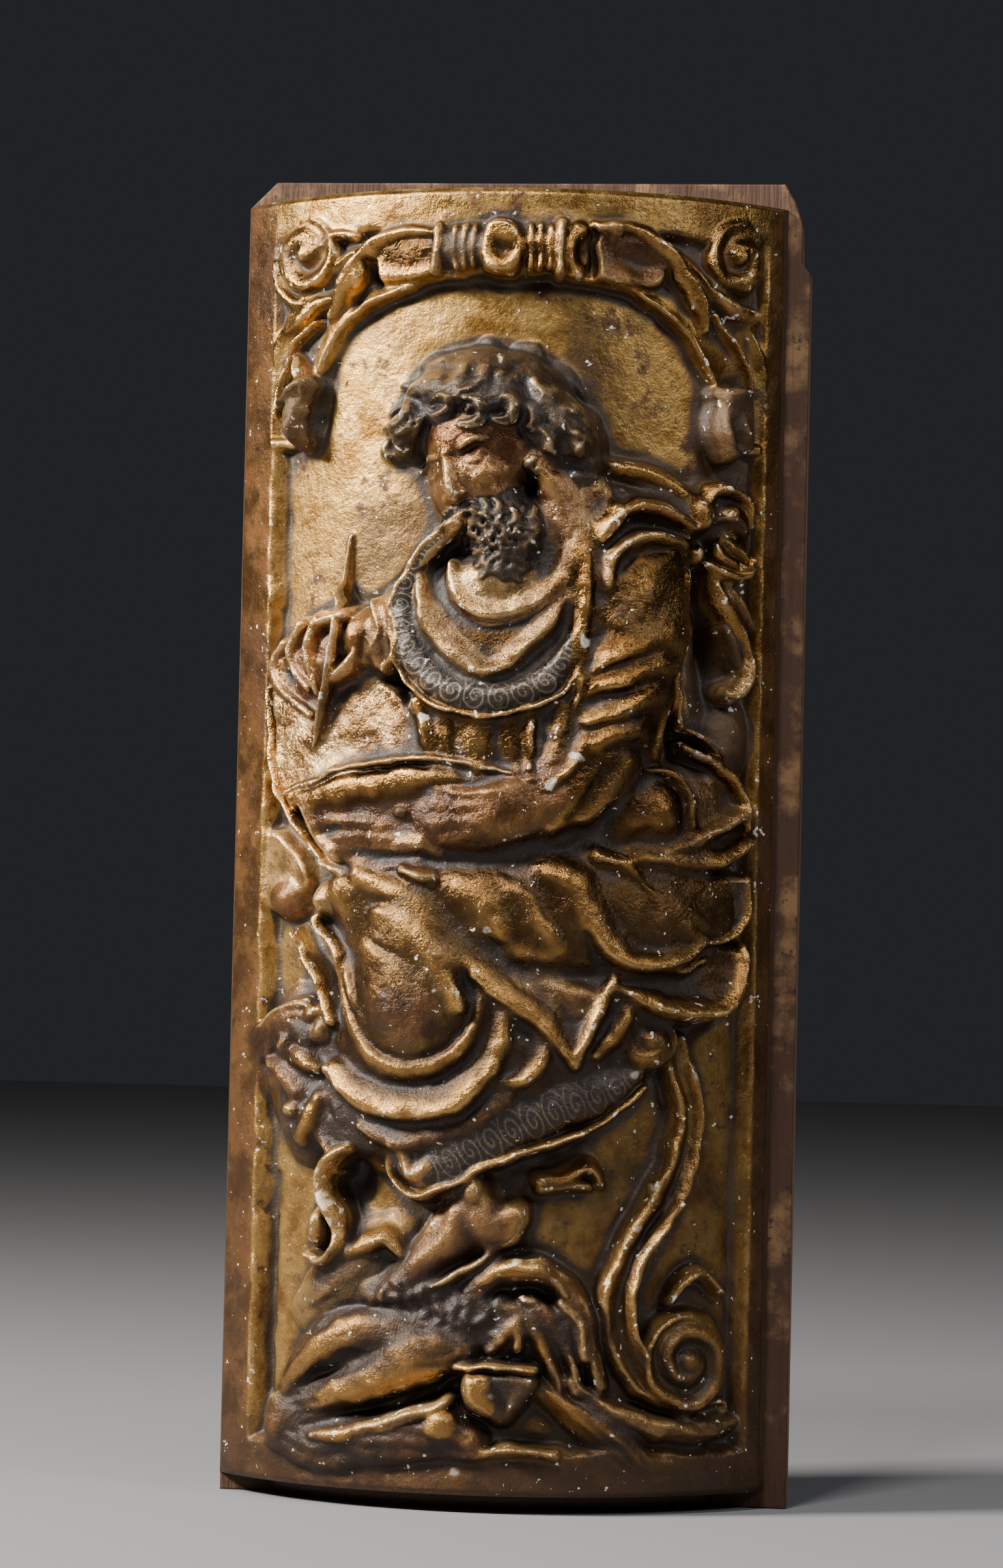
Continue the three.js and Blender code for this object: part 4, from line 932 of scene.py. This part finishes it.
def value_noise(cell, seed):
    """Soft noise between -1 and 1 whose lumps are about one cell wide, in millimetres."""
    draws = np.random.default_rng(seed)
    wide = int((SHEET_RIGHT - SHEET_LEFT) / cell) + 3
    tall = int((SHEET_TOP - SHEET_BOTTOM) / cell) + 3
    lattice = draws.uniform(-1, 1, (tall, wide))
    u = (X - SHEET_LEFT) / cell
    v = (Z - SHEET_BOTTOM) / cell
    i, j = u.astype(int), v.astype(int)
    s, t = smooth_step(0, 1, u - i), smooth_step(0, 1, v - j)
    low = lattice[j, i] * (1 - s) + lattice[j, i + 1] * s
    high = lattice[j + 1, i] * (1 - s) + lattice[j + 1, i + 1] * s
    return low * (1 - t) + high * t


def soften(field, radius):
    """The field averaged twice over a square of the given half width in cells."""
    for _ in range(2):
        for axis in (0, 1):
            padding = [(radius + 1, radius) if k == axis else (0, 0) for k in (0, 1)]
            total = np.cumsum(np.pad(field, padding, "edge"), axis=axis)
            width = 2 * radius + 1
            ahead = np.take(total, range(width, total.shape[axis]), axis)
            behind = np.take(total, range(0, total.shape[axis] - width), axis)
            field = (ahead - behind) / width
    return field


# hand work: narrow valleys in the figure partly filled, lines that wander, crests of uneven height; the
# face and the writing hand are kept crisp
FIGURE_RISE = 12
FIGURE_SHARE = (0.6, 0.95)
FIGURE_MARGIN = 8
HEAD_FADE = (50, 38)
HEAD_STRETCH = 1.1
HAND_MIDDLE = (-112, 468)
HAND_FADE = (44, 34)
FILL_RADIUS = 5
CREST_RADIUS = 5
FILL_DROP = 0.9
FILL_BLEND = 2.5
DRIFT_MARGIN = 18
DRIFT_FADE = (4, 14)
DRIFT_WIDE = 1.5
DRIFT_FINE = 0.8
SOFTENED = 0.7
UNEVEN_CREST = (0.15, 0.45)
GROUND_SHARE = 0.35
GROUND_FADE = (8, 14)
head_part = smooth_step(*HEAD_FADE, np.hypot(X - FACE_MIDDLE[0], (Z - FACE_MIDDLE[1]) / HEAD_STRETCH))
hand_part = smooth_step(*HAND_FADE, np.hypot(X - HAND_MIDDLE[0], Z - HAND_MIDDLE[1]))
fine_part = np.maximum(head_part, hand_part)
figure = smooth_step(*FIGURE_SHARE, soften((height > FIGURE_RISE).astype(float), FIGURE_MARGIN))
filled = soft_max(height, soften(height, FILL_RADIUS) - FILL_DROP, FILL_BLEND)
height = height + figure * (1 - fine_part) * (filled - height)
drifting = smooth_step(*DRIFT_FADE, SHEET_RIGHT - DRIFT_MARGIN - np.abs(X)) * (1 - fine_part)
drift_x = drifting * (DRIFT_WIDE * value_noise(19, 11) + DRIFT_FINE * value_noise(8, 12)) / CELL
drift_z = drifting * (DRIFT_WIDE * value_noise(17, 13) + DRIFT_FINE * value_noise(7, 14)) / CELL
grid_row, grid_column = np.mgrid[0:rows, 0:columns]
from_row = np.clip(grid_row + drift_z, 0, rows - 1.01)
from_column = np.clip(grid_column + drift_x, 0, columns - 1.01)
row, column = from_row.astype(int), from_column.astype(int)
s, t = from_column - column, from_row - row
near = height[row, column] * (1 - s) + height[row, column + 1] * s
far = height[row + 1, column] * (1 - s) + height[row + 1, column + 1] * s
height = near * (1 - t) + far * t
finish = finish[np.rint(from_row).astype(int), np.rint(from_column).astype(int)]
height += SOFTENED * (1 - fine_part) * (soften(height, 1) - height)
steady, wavering = UNEVEN_CREST
relief_detail = height - soften(height, CREST_RADIUS)
height += (1 - fine_part) * relief_detail * (steady + wavering * value_noise(11, 15))
uneven = GROUND_SHARE + (1 - GROUND_SHARE) * smooth_step(*GROUND_FADE, height)
height += uneven * (0.5 * value_noise(14, 1) + 0.45 * value_noise(6, 2) + 0.2 * value_noise(2.6, 3))

# wear: paint lost down to the white ground, chips off the crests and rounded outer edges
NEAR_RADIUS, HOLLOW_RADIUS, DEEP_RADIUS = 2, 7, 18
LOSS_SHARE = 0.993
LOSS_FREE = (40, 30)
LOSS_LIMIT = 2
PATCHY = -0.15
CHIP_START = 0.75
CHIP_DEPTH = 1.6
EDGE_ROUND = 4
EDGE_DROP = 3.0
crest = height - soften(height, NEAR_RADIUS)
hollow = soften(height, HOLLOW_RADIUS) - height
deep = soften(height, DEEP_RADIUS) - height
losses = value_noise(2.6, 21) + 0.8 * value_noise(10, 22) + 0.3 * np.clip(crest, -1, 2)
losses -= LOSS_LIMIT * smooth_step(*LOSS_FREE, np.hypot(X - FACE_MIDDLE[0], Z - FACE_MIDDLE[1]))
finish[(finish == WHITE) & (value_noise(3, 23) < PATCHY)] = GOLD
finish[losses > np.quantile(losses, LOSS_SHARE)] = WHITE
chips = np.clip(value_noise(3.5, 4) + 0.6 * value_noise(9, 5) - CHIP_START, 0, 1)
height -= CHIP_DEPTH * chips * np.clip(crest * 2, 0, 1)
side_gap = np.minimum(X - SHEET_LEFT, SHEET_RIGHT - X)
edge_gap = np.minimum(side_gap, np.minimum(Z - SHEET_BOTTOM, SHEET_TOP - Z))
height -= EDGE_DROP * (1 - smooth_step(0, EDGE_ROUND, edge_gap)) ** 2

# the sheet closed by side walls and a flat back, and bent round the bow
CHORD = 308.0
BOW = 74.0
EDGE_THICKNESS = 6.0
JOINT_GAP = 0.3
TRIANGLES = 190000
bow_radius = (CHORD * CHORD / 4 + BOW * BOW) / (2 * BOW)
axis_y = bow_radius - BOW - EDGE_THICKNESS

panel_bm = bmesh.new()
bmesh.ops.create_grid(panel_bm, x_segments=columns - 1, y_segments=rows - 1, size=0.5)
rim = [edge for edge in panel_bm.edges if edge.is_boundary]
grown = bmesh.ops.extrude_edge_only(panel_bm, edges=rim)["geom"]
for part in grown:
    if isinstance(part, bmesh.types.BMVert):
        part.co.z = 1.0
back_rim = [edge for edge in panel_bm.edges if edge.is_boundary]
bmesh.ops.triangle_fill(panel_bm, use_beauty=True, use_dissolve=False, edges=back_rim)
for edge in rim + back_rim:
    if edge.is_valid:
        edge.smooth = False
panel_mesh = bpy.data.meshes.new("carved_relief")
panel_bm.to_mesh(panel_mesh)
panel_bm.free()

flat = np.zeros(len(panel_mesh.vertices) * 3)
panel_mesh.vertices.foreach_get("co", flat)
flat = flat.reshape(-1, 3)
column = np.rint((flat[:, 0] + 0.5) * (columns - 1)).astype(int)
row = np.rint((flat[:, 1] + 0.5) * (rows - 1)).astype(int)
behind = flat[:, 2] > 0.5
angle = across[column] / bow_radius
radius = bow_radius - FRAME_RISE + np.where(behind, FRAME_RISE, height[row, column])
placed = np.stack([radius * np.sin(angle), axis_y - radius * np.cos(angle), up[row]], axis=1)
placed[behind, 1] = -JOINT_GAP
panel_mesh.vertices.foreach_set("co", (placed * MM + np.array(ORIGIN)).ravel())

# the low foot under the bowed face
FOOT_INSET = 16.0
FOOT_OVERLAP = 2.0
FOOT_STEPS = 40


def closed_prism(target, outline, low, high):
    """A closed prism over an outline of (x, y) points in millimetres."""
    rings = [[target.verts.new(ORIGIN + Vector((x, y, z)) * MM) for x, y in outline] for z in (low, high)]
    target.faces.new(rings[0])
    target.faces.new(rings[1])
    for k in range(len(outline)):
        following = (k + 1) % len(outline)
        target.faces.new([rings[0][k], rings[0][following], rings[1][following], rings[1][k]])


panel_bm = bmesh.new()
panel_bm.from_mesh(panel_mesh)
foot_radius = bow_radius - FRAME_RISE - FOOT_INSET
foot_half = math.acos((axis_y + JOINT_GAP) / foot_radius)
foot_plan = []
for k in range(FOOT_STEPS + 1):
    turned = foot_half * (2 * k / FOOT_STEPS - 1)
    foot_plan.append((foot_radius * math.sin(turned), axis_y - foot_radius * math.cos(turned)))
closed_prism(panel_bm, foot_plan, 0.0, SHEET_BOTTOM + FOOT_OVERLAP)
bmesh.ops.recalc_face_normals(panel_bm, faces=panel_bm.faces)
for face in panel_bm.faces:
    face.smooth = True
panel_bm.to_mesh(panel_mesh)
panel_bm.free()


def give(name, field):
    """Writes a field of the sheet on the mesh's points as a named attribute, zero on the back."""
    values = np.zeros(len(panel_mesh.vertices))
    values[:len(column)] = np.where(behind, 0.0, field[row, column])
    panel_mesh.attributes.new(name, "FLOAT", "POINT").data.foreach_set("value", values.astype(np.float32))


for name, field in (("crest", crest), ("hollow", hollow), ("deep", deep), ("rise", height),
                    ("band_along", band_along), ("band_across", band_across),
                    ("face_side", np.ones_like(X))):
    give(name, field)
for name, number in (("blue", BLUE), ("flesh", FLESH), ("hair", HAIR), ("pale", PALE), ("bole", BOLE),
                     ("dark", DARK), ("cream", CREAM), ("white", WHITE)):
    give(name, soften((finish == number).astype(float), 1))

relief = bpy.data.objects.new("carved_relief", panel_mesh)
bpy.context.scene.collection.objects.link(relief)
thin = relief.modifiers.new("thin_out", "DECIMATE")
thin.ratio = TRIANGLES / (2.0 * len(panel_mesh.polygons))


def colour(red, green, blue):
    """A colour given by its display values, 0 to 255, as the shader wants it."""
    def linear(value):
        share = value / 255
        return share / 12.92 if share <= 0.04045 else ((share + 0.055) / 1.055) ** 2.4
    return (linear(red), linear(green), linear(blue), 1.0)


class Nodes:
    """Short calls for building one material's node tree."""

    def __init__(self, name):
        self.material = bpy.data.materials.new(name)
        self.material.use_nodes = True
        self.tree = self.material.node_tree
        self.shader = self.tree.nodes["Principled BSDF"]
        self.place = self.tree.nodes.new("ShaderNodeTexCoord").outputs["Object"]

    def feed(self, socket, value):
        """Links a node's output to a socket, or sets the socket to a plain value."""
        if isinstance(value, bpy.types.NodeSocket):
            self.tree.links.new(value, socket)
        else:
            socket.default_value = value

    def attribute(self, name):
        node = self.tree.nodes.new("ShaderNodeAttribute")
        node.attribute_name = name
        return node.outputs["Fac"]

    def axis(self, name):
        """One coordinate of the place on the object, in metres."""
        node = self.tree.nodes.new("ShaderNodeSeparateXYZ")
        self.feed(node.inputs[0], self.place)
        return node.outputs[name]

    def noise(self, scale, detail, roughness, distortion=0.0, place=None):
        node = self.tree.nodes.new("ShaderNodeTexNoise")
        self.feed(node.inputs["Vector"], place or self.place)
        for name, value in (("Scale", scale), ("Detail", detail), ("Roughness", roughness),
                            ("Distortion", distortion)):
            node.inputs[name].default_value = value
        return node.outputs["Fac"]

    def maths(self, operation, first, second=0.0):
        node = self.tree.nodes.new("ShaderNodeMath")
        node.operation = operation
        self.feed(node.inputs[0], first)
        self.feed(node.inputs[1], second)
        return node.outputs[0]

    def times(self, first, second):
        return self.maths("MULTIPLY", first, second)

    def plus(self, first, second):
        return self.maths("ADD", first, second)

    def most(self, first, second):
        return self.maths("MAXIMUM", first, second)

    def rest(self, value, share=1.0):
        """What is left of 1 when a share of the value is taken away."""
        return self.maths("SUBTRACT", 1.0, self.times(value, share))

    def between(self, value, low, high, start=0.0, stop=1.0):
        """Runs softly from start to stop while the value goes from low to high."""
        node = self.tree.nodes.new("ShaderNodeMapRange")
        node.interpolation_type = "SMOOTHSTEP"
        self.feed(node.inputs["Value"], value)
        for name, limit in (("From Min", low), ("From Max", high), ("To Min", start), ("To Max", stop)):
            node.inputs[name].default_value = limit
        return node.outputs["Result"]

    def mix(self, share, first, second):
        """A share of the second colour over the first."""
        node = self.tree.nodes.new("ShaderNodeMix")
        node.data_type = "RGBA"
        self.feed(node.inputs[0], share)
        self.feed(node.inputs[6], first)
        self.feed(node.inputs[7], second)
        return node.outputs[2]

    def blend(self, share, first, second):
        """A share of the second value over the first."""
        node = self.tree.nodes.new("ShaderNodeMix")
        node.data_type = "FLOAT"
        self.feed(node.inputs[0], share)
        self.feed(node.inputs[2], first)
        self.feed(node.inputs[3], second)
        return node.outputs[0]

    def bump(self, height, distance):
        node = self.tree.nodes.new("ShaderNodeBump")
        node.inputs["Strength"].default_value = 1.0
        node.inputs["Distance"].default_value = distance
        self.feed(node.inputs["Height"], height)
        self.tree.links.new(node.outputs["Normal"], self.shader.inputs["Normal"])


# worn gilding, from the metal outwards: gold leaf over clay, bronze tones on the raised forms with
# painted highlights on their swells and painted shade between, paints, crests rubbed bright with a
# painted highlight, grime and painted shade in the hollows, painted shade on the right side and low down,
# patina, soot and chips
PATTERN_PITCH = 12.0
PATTERN_WIDTH = 0.62
PATTERN_TURNS = 24.0
CREST_RANGE = (0.35, 1.3)
RAISED_RANGE = (7.0, 13.0)
SWELL_LIGHT_RANGE = (1.2, 4.8)
GRIME_SHADE_RANGE = (1.7, 3.9)
DEEP_SHADE_RANGE = (8.5, 14.0)
SHADE_RANGE = (0.04, 0.17)
SHADE_AMOUNT = 0.42
LOW_SHADE_RANGE = (0.52, 0.12)
LOW_SHADE_AMOUNT = 0.92
CHIP_RANGE = (0.875, 0.9)
SHINY = (0.13, 0.27)
GROUND_DULLNESS = 0.18
DULL_ROUGHNESS = 0.52
BUMP_DEPTH = 0.001

gilt = Nodes("worn_gilding")
crests = gilt.between(gilt.attribute("crest"), *CREST_RANGE)
hollows = gilt.attribute("hollow")
broad = gilt.noise(14, 5, 0.6)
patch = gilt.noise(38, 6, 0.65)
grain = gilt.noise(170, 5, 0.7)
speck = gilt.noise(460, 3, 0.7)
raised = gilt.between(gilt.attribute("rise"), *RAISED_RANGE)

leaf = gilt.mix(gilt.between(patch, 0.34, 0.62), colour(136, 96, 46), colour(206, 164, 94))
leaf = gilt.mix(gilt.between(broad, 0.52, 0.66, 0.0, 0.5), leaf, colour(98, 84, 74))
rubbed = gilt.plus(gilt.times(patch, 0.7), gilt.times(grain, 0.5))
rubbed = gilt.plus(rubbed, gilt.times(gilt.attribute("bole"), 0.08))
worn = gilt.between(rubbed, 0.64, 0.76)
base = gilt.mix(worn, leaf, colour(92, 50, 26))
metal = gilt.times(gilt.rest(worn, 0.6), 0.95)
# painted highlight and painted shade: the bronze on the raised forms runs from near-black in their
# hollows to bright gold on their swells, partly rubbed gilding
swell = gilt.between(gilt.plus(gilt.times(hollows, -1.0), gilt.times(patch, 3.0)), *SWELL_LIGHT_RANGE)
bronze_lit_and_shaded = gilt.mix(swell, colour(44, 26, 13), colour(192, 142, 78))
base = gilt.mix(gilt.times(raised, 0.85), base, bronze_lit_and_shaded)

# a row of spirals along the painted bands: how far round and how far out from each one's middle
lengthwise = gilt.maths("FRACT", gilt.maths("DIVIDE", gilt.attribute("band_along"), PATTERN_PITCH))
lengthwise = gilt.maths("SUBTRACT", lengthwise, 0.5)
crosswise = gilt.times(gilt.attribute("band_across"), PATTERN_WIDTH)
squares = gilt.plus(gilt.times(lengthwise, lengthwise), gilt.times(crosswise, crosswise))
outwards = gilt.maths("SQRT", squares)
roundwards = gilt.maths("ARCTAN2", crosswise, lengthwise)
swirl = gilt.maths("SINE", gilt.plus(gilt.times(outwards, PATTERN_TURNS), roundwards))
pattern = gilt.between(gilt.plus(swirl, gilt.times(grain, 1.6)), 1.1, 1.7, 0.0, 0.75)

# each paint: the noise that mottles it and its range, the two tones, how well it covers, how it shines
for name, mottle, low, high, first, second, cover, shine in (
        ("blue", pattern, None, None, (38, 38, 42), (126, 112, 88), 0.95, 0.25),
        ("flesh", patch, 0.4, 0.6, (84, 48, 28), (164, 122, 84), 0.62, 0.6),
        ("hair", grain, 0.42, 0.68, (17, 15, 15), (60, 50, 43), 0.92, 0.3),
        ("pale", patch, 0.4, 0.6, (104, 76, 54), (188, 150, 100), 0.6, 0.6),
        ("bole", patch, 0.42, 0.64, (56, 32, 17), (124, 82, 42), 0.78, 0.5),
        ("dark", grain, 0.4, 0.65, (14, 11, 10), (52, 41, 32), 0.85, 0.25),
        ("cream", patch, 0.36, 0.58, (206, 172, 122), (138, 98, 54), 0.8, 0.8),
        ("white", grain, None, None, (206, 190, 166), (240, 234, 224), 1.0, 0.0)):
    mottling = mottle if low is None else gilt.between(mottle, low, high)
    tone = gilt.mix(mottling, colour(*first), colour(*second))
    amount = gilt.times(gilt.between(gilt.attribute(name), 0.3, 0.7), cover)
    base = gilt.mix(amount, base, tone)
    metal = gilt.blend(amount, metal, shine)

hairy = gilt.attribute("hair")
darkened = gilt.attribute("dark")
# painted highlight: near-white gold on the crests and in grainy flecks, weaker on hair and dark paint;
# partly the crests' rubbed gilding
painted_crest_highlight = gilt.between(gilt.plus(gilt.times(crests, 0.5), gilt.times(grain, 0.8)), 0.62, 0.9)
sheen = gilt.maths("SUBTRACT", 0.45, gilt.most(gilt.times(hairy, 0.34), gilt.times(darkened, 0.42)))
base = gilt.mix(gilt.times(painted_crest_highlight, sheen), base, colour(238, 196, 130))
# dirt and painted shade: the hollows and the deep places darkened to near-black brown, less on the flesh
grime_and_shade = gilt.between(gilt.plus(hollows, gilt.times(patch, 2.4)), *GRIME_SHADE_RANGE)
deep_grime_and_shade = gilt.between(gilt.plus(gilt.attribute("deep"), gilt.times(patch, 6.0)), *DEEP_SHADE_RANGE)
grime_and_shade = gilt.times(gilt.most(grime_and_shade, deep_grime_and_shade), gilt.rest(gilt.attribute("flesh"), 0.55))
soil_and_shade = gilt.mix(gilt.between(broad, 0.42, 0.6), colour(20, 12, 7), colour(46, 42, 42))
base = gilt.mix(gilt.times(grime_and_shade, 0.92), base, soil_and_shade)
# patina and painted shade: the right side of the bow darker, where the light falls off round the bow
sideways = gilt.plus(gilt.axis("X"), gilt.times(broad, 0.12))
base = gilt.mix(gilt.between(sideways, *SHADE_RANGE, 0.0, SHADE_AMOUNT), base, colour(70, 44, 18))
# painted shade: darker towards the bottom, where the light falls off, less on the swells; it also dulls
# the surface
upwards = gilt.plus(gilt.axis("Z"), gilt.times(broad, 0.16))
low_shade = gilt.times(gilt.between(upwards, *LOW_SHADE_RANGE, 0.0, LOW_SHADE_AMOUNT), gilt.rest(swell, 0.72))
low_shade = gilt.times(low_shade, gilt.plus(0.4, gilt.times(raised, 0.6)))
base = gilt.mix(low_shade, base, colour(38, 23, 13))
patina = gilt.plus(gilt.times(patch, 0.6), gilt.times(broad, 0.6))
base = gilt.mix(gilt.between(patina, 0.6, 0.74, 0.0, 0.55), base, colour(50, 36, 27))
base = gilt.mix(gilt.between(speck, 0.62, 0.72, 0.0, 0.7), base, colour(48, 32, 18))
loose = gilt.plus(gilt.times(crests, 0.07), gilt.times(patch, 0.35))
chip = gilt.between(gilt.plus(loose, gilt.noise(230, 3, 0.55)), *CHIP_RANGE)
base = gilt.mix(chip, base, colour(232, 222, 206))
# the back, the ends and the foot are bare dark wood
bare = gilt.between(gilt.attribute("face_side"), 0.97, 0.86)
base = gilt.mix(bare, base, gilt.mix(grain, colour(44, 29, 18), colour(82, 58, 38)))
dull = gilt.most(gilt.most(gilt.most(grime_and_shade, chip), low_shade), bare)
metal = gilt.times(gilt.times(metal, gilt.rest(bare)), gilt.rest(dull, 0.8))
rough = gilt.blend(worn, gilt.between(grain, 0.3, 0.7, *SHINY), 0.3)
rough = gilt.plus(rough, gilt.times(gilt.rest(raised), GROUND_DULLNESS))
matt = gilt.most(darkened, gilt.times(hairy, 0.6))
rough = gilt.blend(gilt.most(dull, matt), rough, DULL_ROUGHNESS)
skin = gilt.plus(grain, gilt.times(speck, 0.5))
skin = gilt.plus(gilt.times(patch, gilt.times(raised, 0.7)), skin)
skin = gilt.times(gilt.plus(0.6, gilt.times(raised, 0.4)), skin)
gilt.feed(gilt.shader.inputs["Base Color"], base)
gilt.feed(gilt.shader.inputs["Metallic"], metal)
gilt.feed(gilt.shader.inputs["Roughness"], rough)
gilt.bump(skin, BUMP_DEPTH)
panel_mesh.materials.append(gilt.material)
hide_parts("carved_panel")
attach(relief, "root")

# Backing board
# A flat plank behind the carving, a little taller and wider at the right: bare aged wood, its front edge
# and margin rubbed with the same red-brown clay and gold, its top right corner broken away.

BOARD_RIGHT = 167.0
BOARD_HEIGHT = 745.0
BOARD_THICKNESS = 22.0
BREAK_DEPTH = 15.0
BREAK_HEIGHT = 51.0
CORNER_CHAMFER = 15.0
STEP_RISE = 6.0
OUTLINE_STEP = 6.0
EDGE_WEAR = 1.2
FIBRE_STRETCH = (1.0, 1.0, 0.08)
CLAY_DEPTH = (0.004, 0.0005)
WOOD_ROUGHNESS = 0.75
WOOD_BUMP = 0.0012
# the broken corner: how far in and how far down from the top each point of the break lies, as shares
BREAK_SHARES = ((0.36, 0.45), (0.6, 0.2), (1.0, 0.0))
STEP_SHARE = 0.3

corners = [(BOARD_LEFT, 0.0), (BOARD_RIGHT, 0.0), (BOARD_RIGHT, BOARD_HEIGHT - BREAK_HEIGHT),
           (BOARD_RIGHT - STEP_SHARE * BREAK_DEPTH, BOARD_HEIGHT - BREAK_HEIGHT + STEP_RISE)]
corners += [(BOARD_RIGHT - inward * BREAK_DEPTH, BOARD_HEIGHT - down * BREAK_HEIGHT)
            for inward, down in BREAK_SHARES]
corners += [(BOARD_LEFT + CORNER_CHAMFER, BOARD_HEIGHT), (BOARD_LEFT, BOARD_HEIGHT - CORNER_CHAMFER)]
board_outline = []
for (x0, z0), (x1, z1) in zip(corners, corners[1:] + corners[:1]):
    steps = max(1, int(math.hypot(x1 - x0, z1 - z0) / OUTLINE_STEP))
    for k in range(steps):
        board_outline.append((x0 + (x1 - x0) * k / steps, z0 + (z1 - z0) * k / steps))
board_bm = bmesh.new()
front = [board_bm.verts.new((x, 0.0, z)) for x, z in board_outline]
back = [board_bm.verts.new((x, BOARD_THICKNESS, z)) for x, z in board_outline]
front_face = board_bm.faces.new(front)
back_face = board_bm.faces.new(back)
for k in range(len(front)):
    following = (k + 1) % len(front)
    board_bm.faces.new([front[k], front[following], back[following], back[k]])
bmesh.ops.recalc_face_normals(board_bm, faces=board_bm.faces)
border = list(front_face.edges) + list(back_face.edges)
bmesh.ops.bevel(board_bm, geom=border, offset=EDGE_WEAR, affect="EDGES", segments=3, profile=0.5,
                material=-1)
bmesh.ops.triangulate(board_bm, faces=[face for face in board_bm.faces if len(face.verts) > 4])
for vert in board_bm.verts:
    vert.co = ORIGIN + vert.co * MM
board_mesh = bpy.data.meshes.new("plank")
board_bm.to_mesh(board_mesh)
board_bm.free()
plank = bpy.data.objects.new("plank", board_mesh)
bpy.context.scene.collection.objects.link(plank)

wood = Nodes("aged_wood")
stretched = wood.tree.nodes.new("ShaderNodeMapping")
wood.feed(stretched.inputs["Vector"], wood.place)
stretched.inputs["Scale"].default_value = FIBRE_STRETCH
fibre = wood.noise(260, 5, 0.6, 0.6, stretched.outputs["Vector"])
ring = wood.noise(40, 3, 0.5, 0.8, stretched.outputs["Vector"])
bare_wood = wood.mix(wood.between(ring, 0.35, 0.65), colour(96, 66, 42), colour(140, 104, 68))
bare_wood = wood.mix(wood.between(fibre, 0.45, 0.7, 0.0, 0.6), bare_wood, colour(60, 40, 26))
rubbed_clay = wood.between(wood.noise(30, 6, 0.65), 0.48, 0.66)
clay = wood.mix(rubbed_clay, colour(66, 40, 22), colour(126, 94, 60))
clay = wood.mix(wood.between(wood.noise(170, 5, 0.7), 0.58, 0.68), clay, colour(40, 26, 16))
front_share = wood.between(wood.axis("Y"), *(ORIGIN.y + depth for depth in CLAY_DEPTH))
wood.feed(wood.shader.inputs["Base Color"], wood.mix(front_share, bare_wood, clay))
wood.shader.inputs["Roughness"].default_value = WOOD_ROUGHNESS
wood.bump(wood.plus(fibre, ring), WOOD_BUMP)
board_mesh.materials.append(wood.material)
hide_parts("backing_board")
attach(plank, "root")
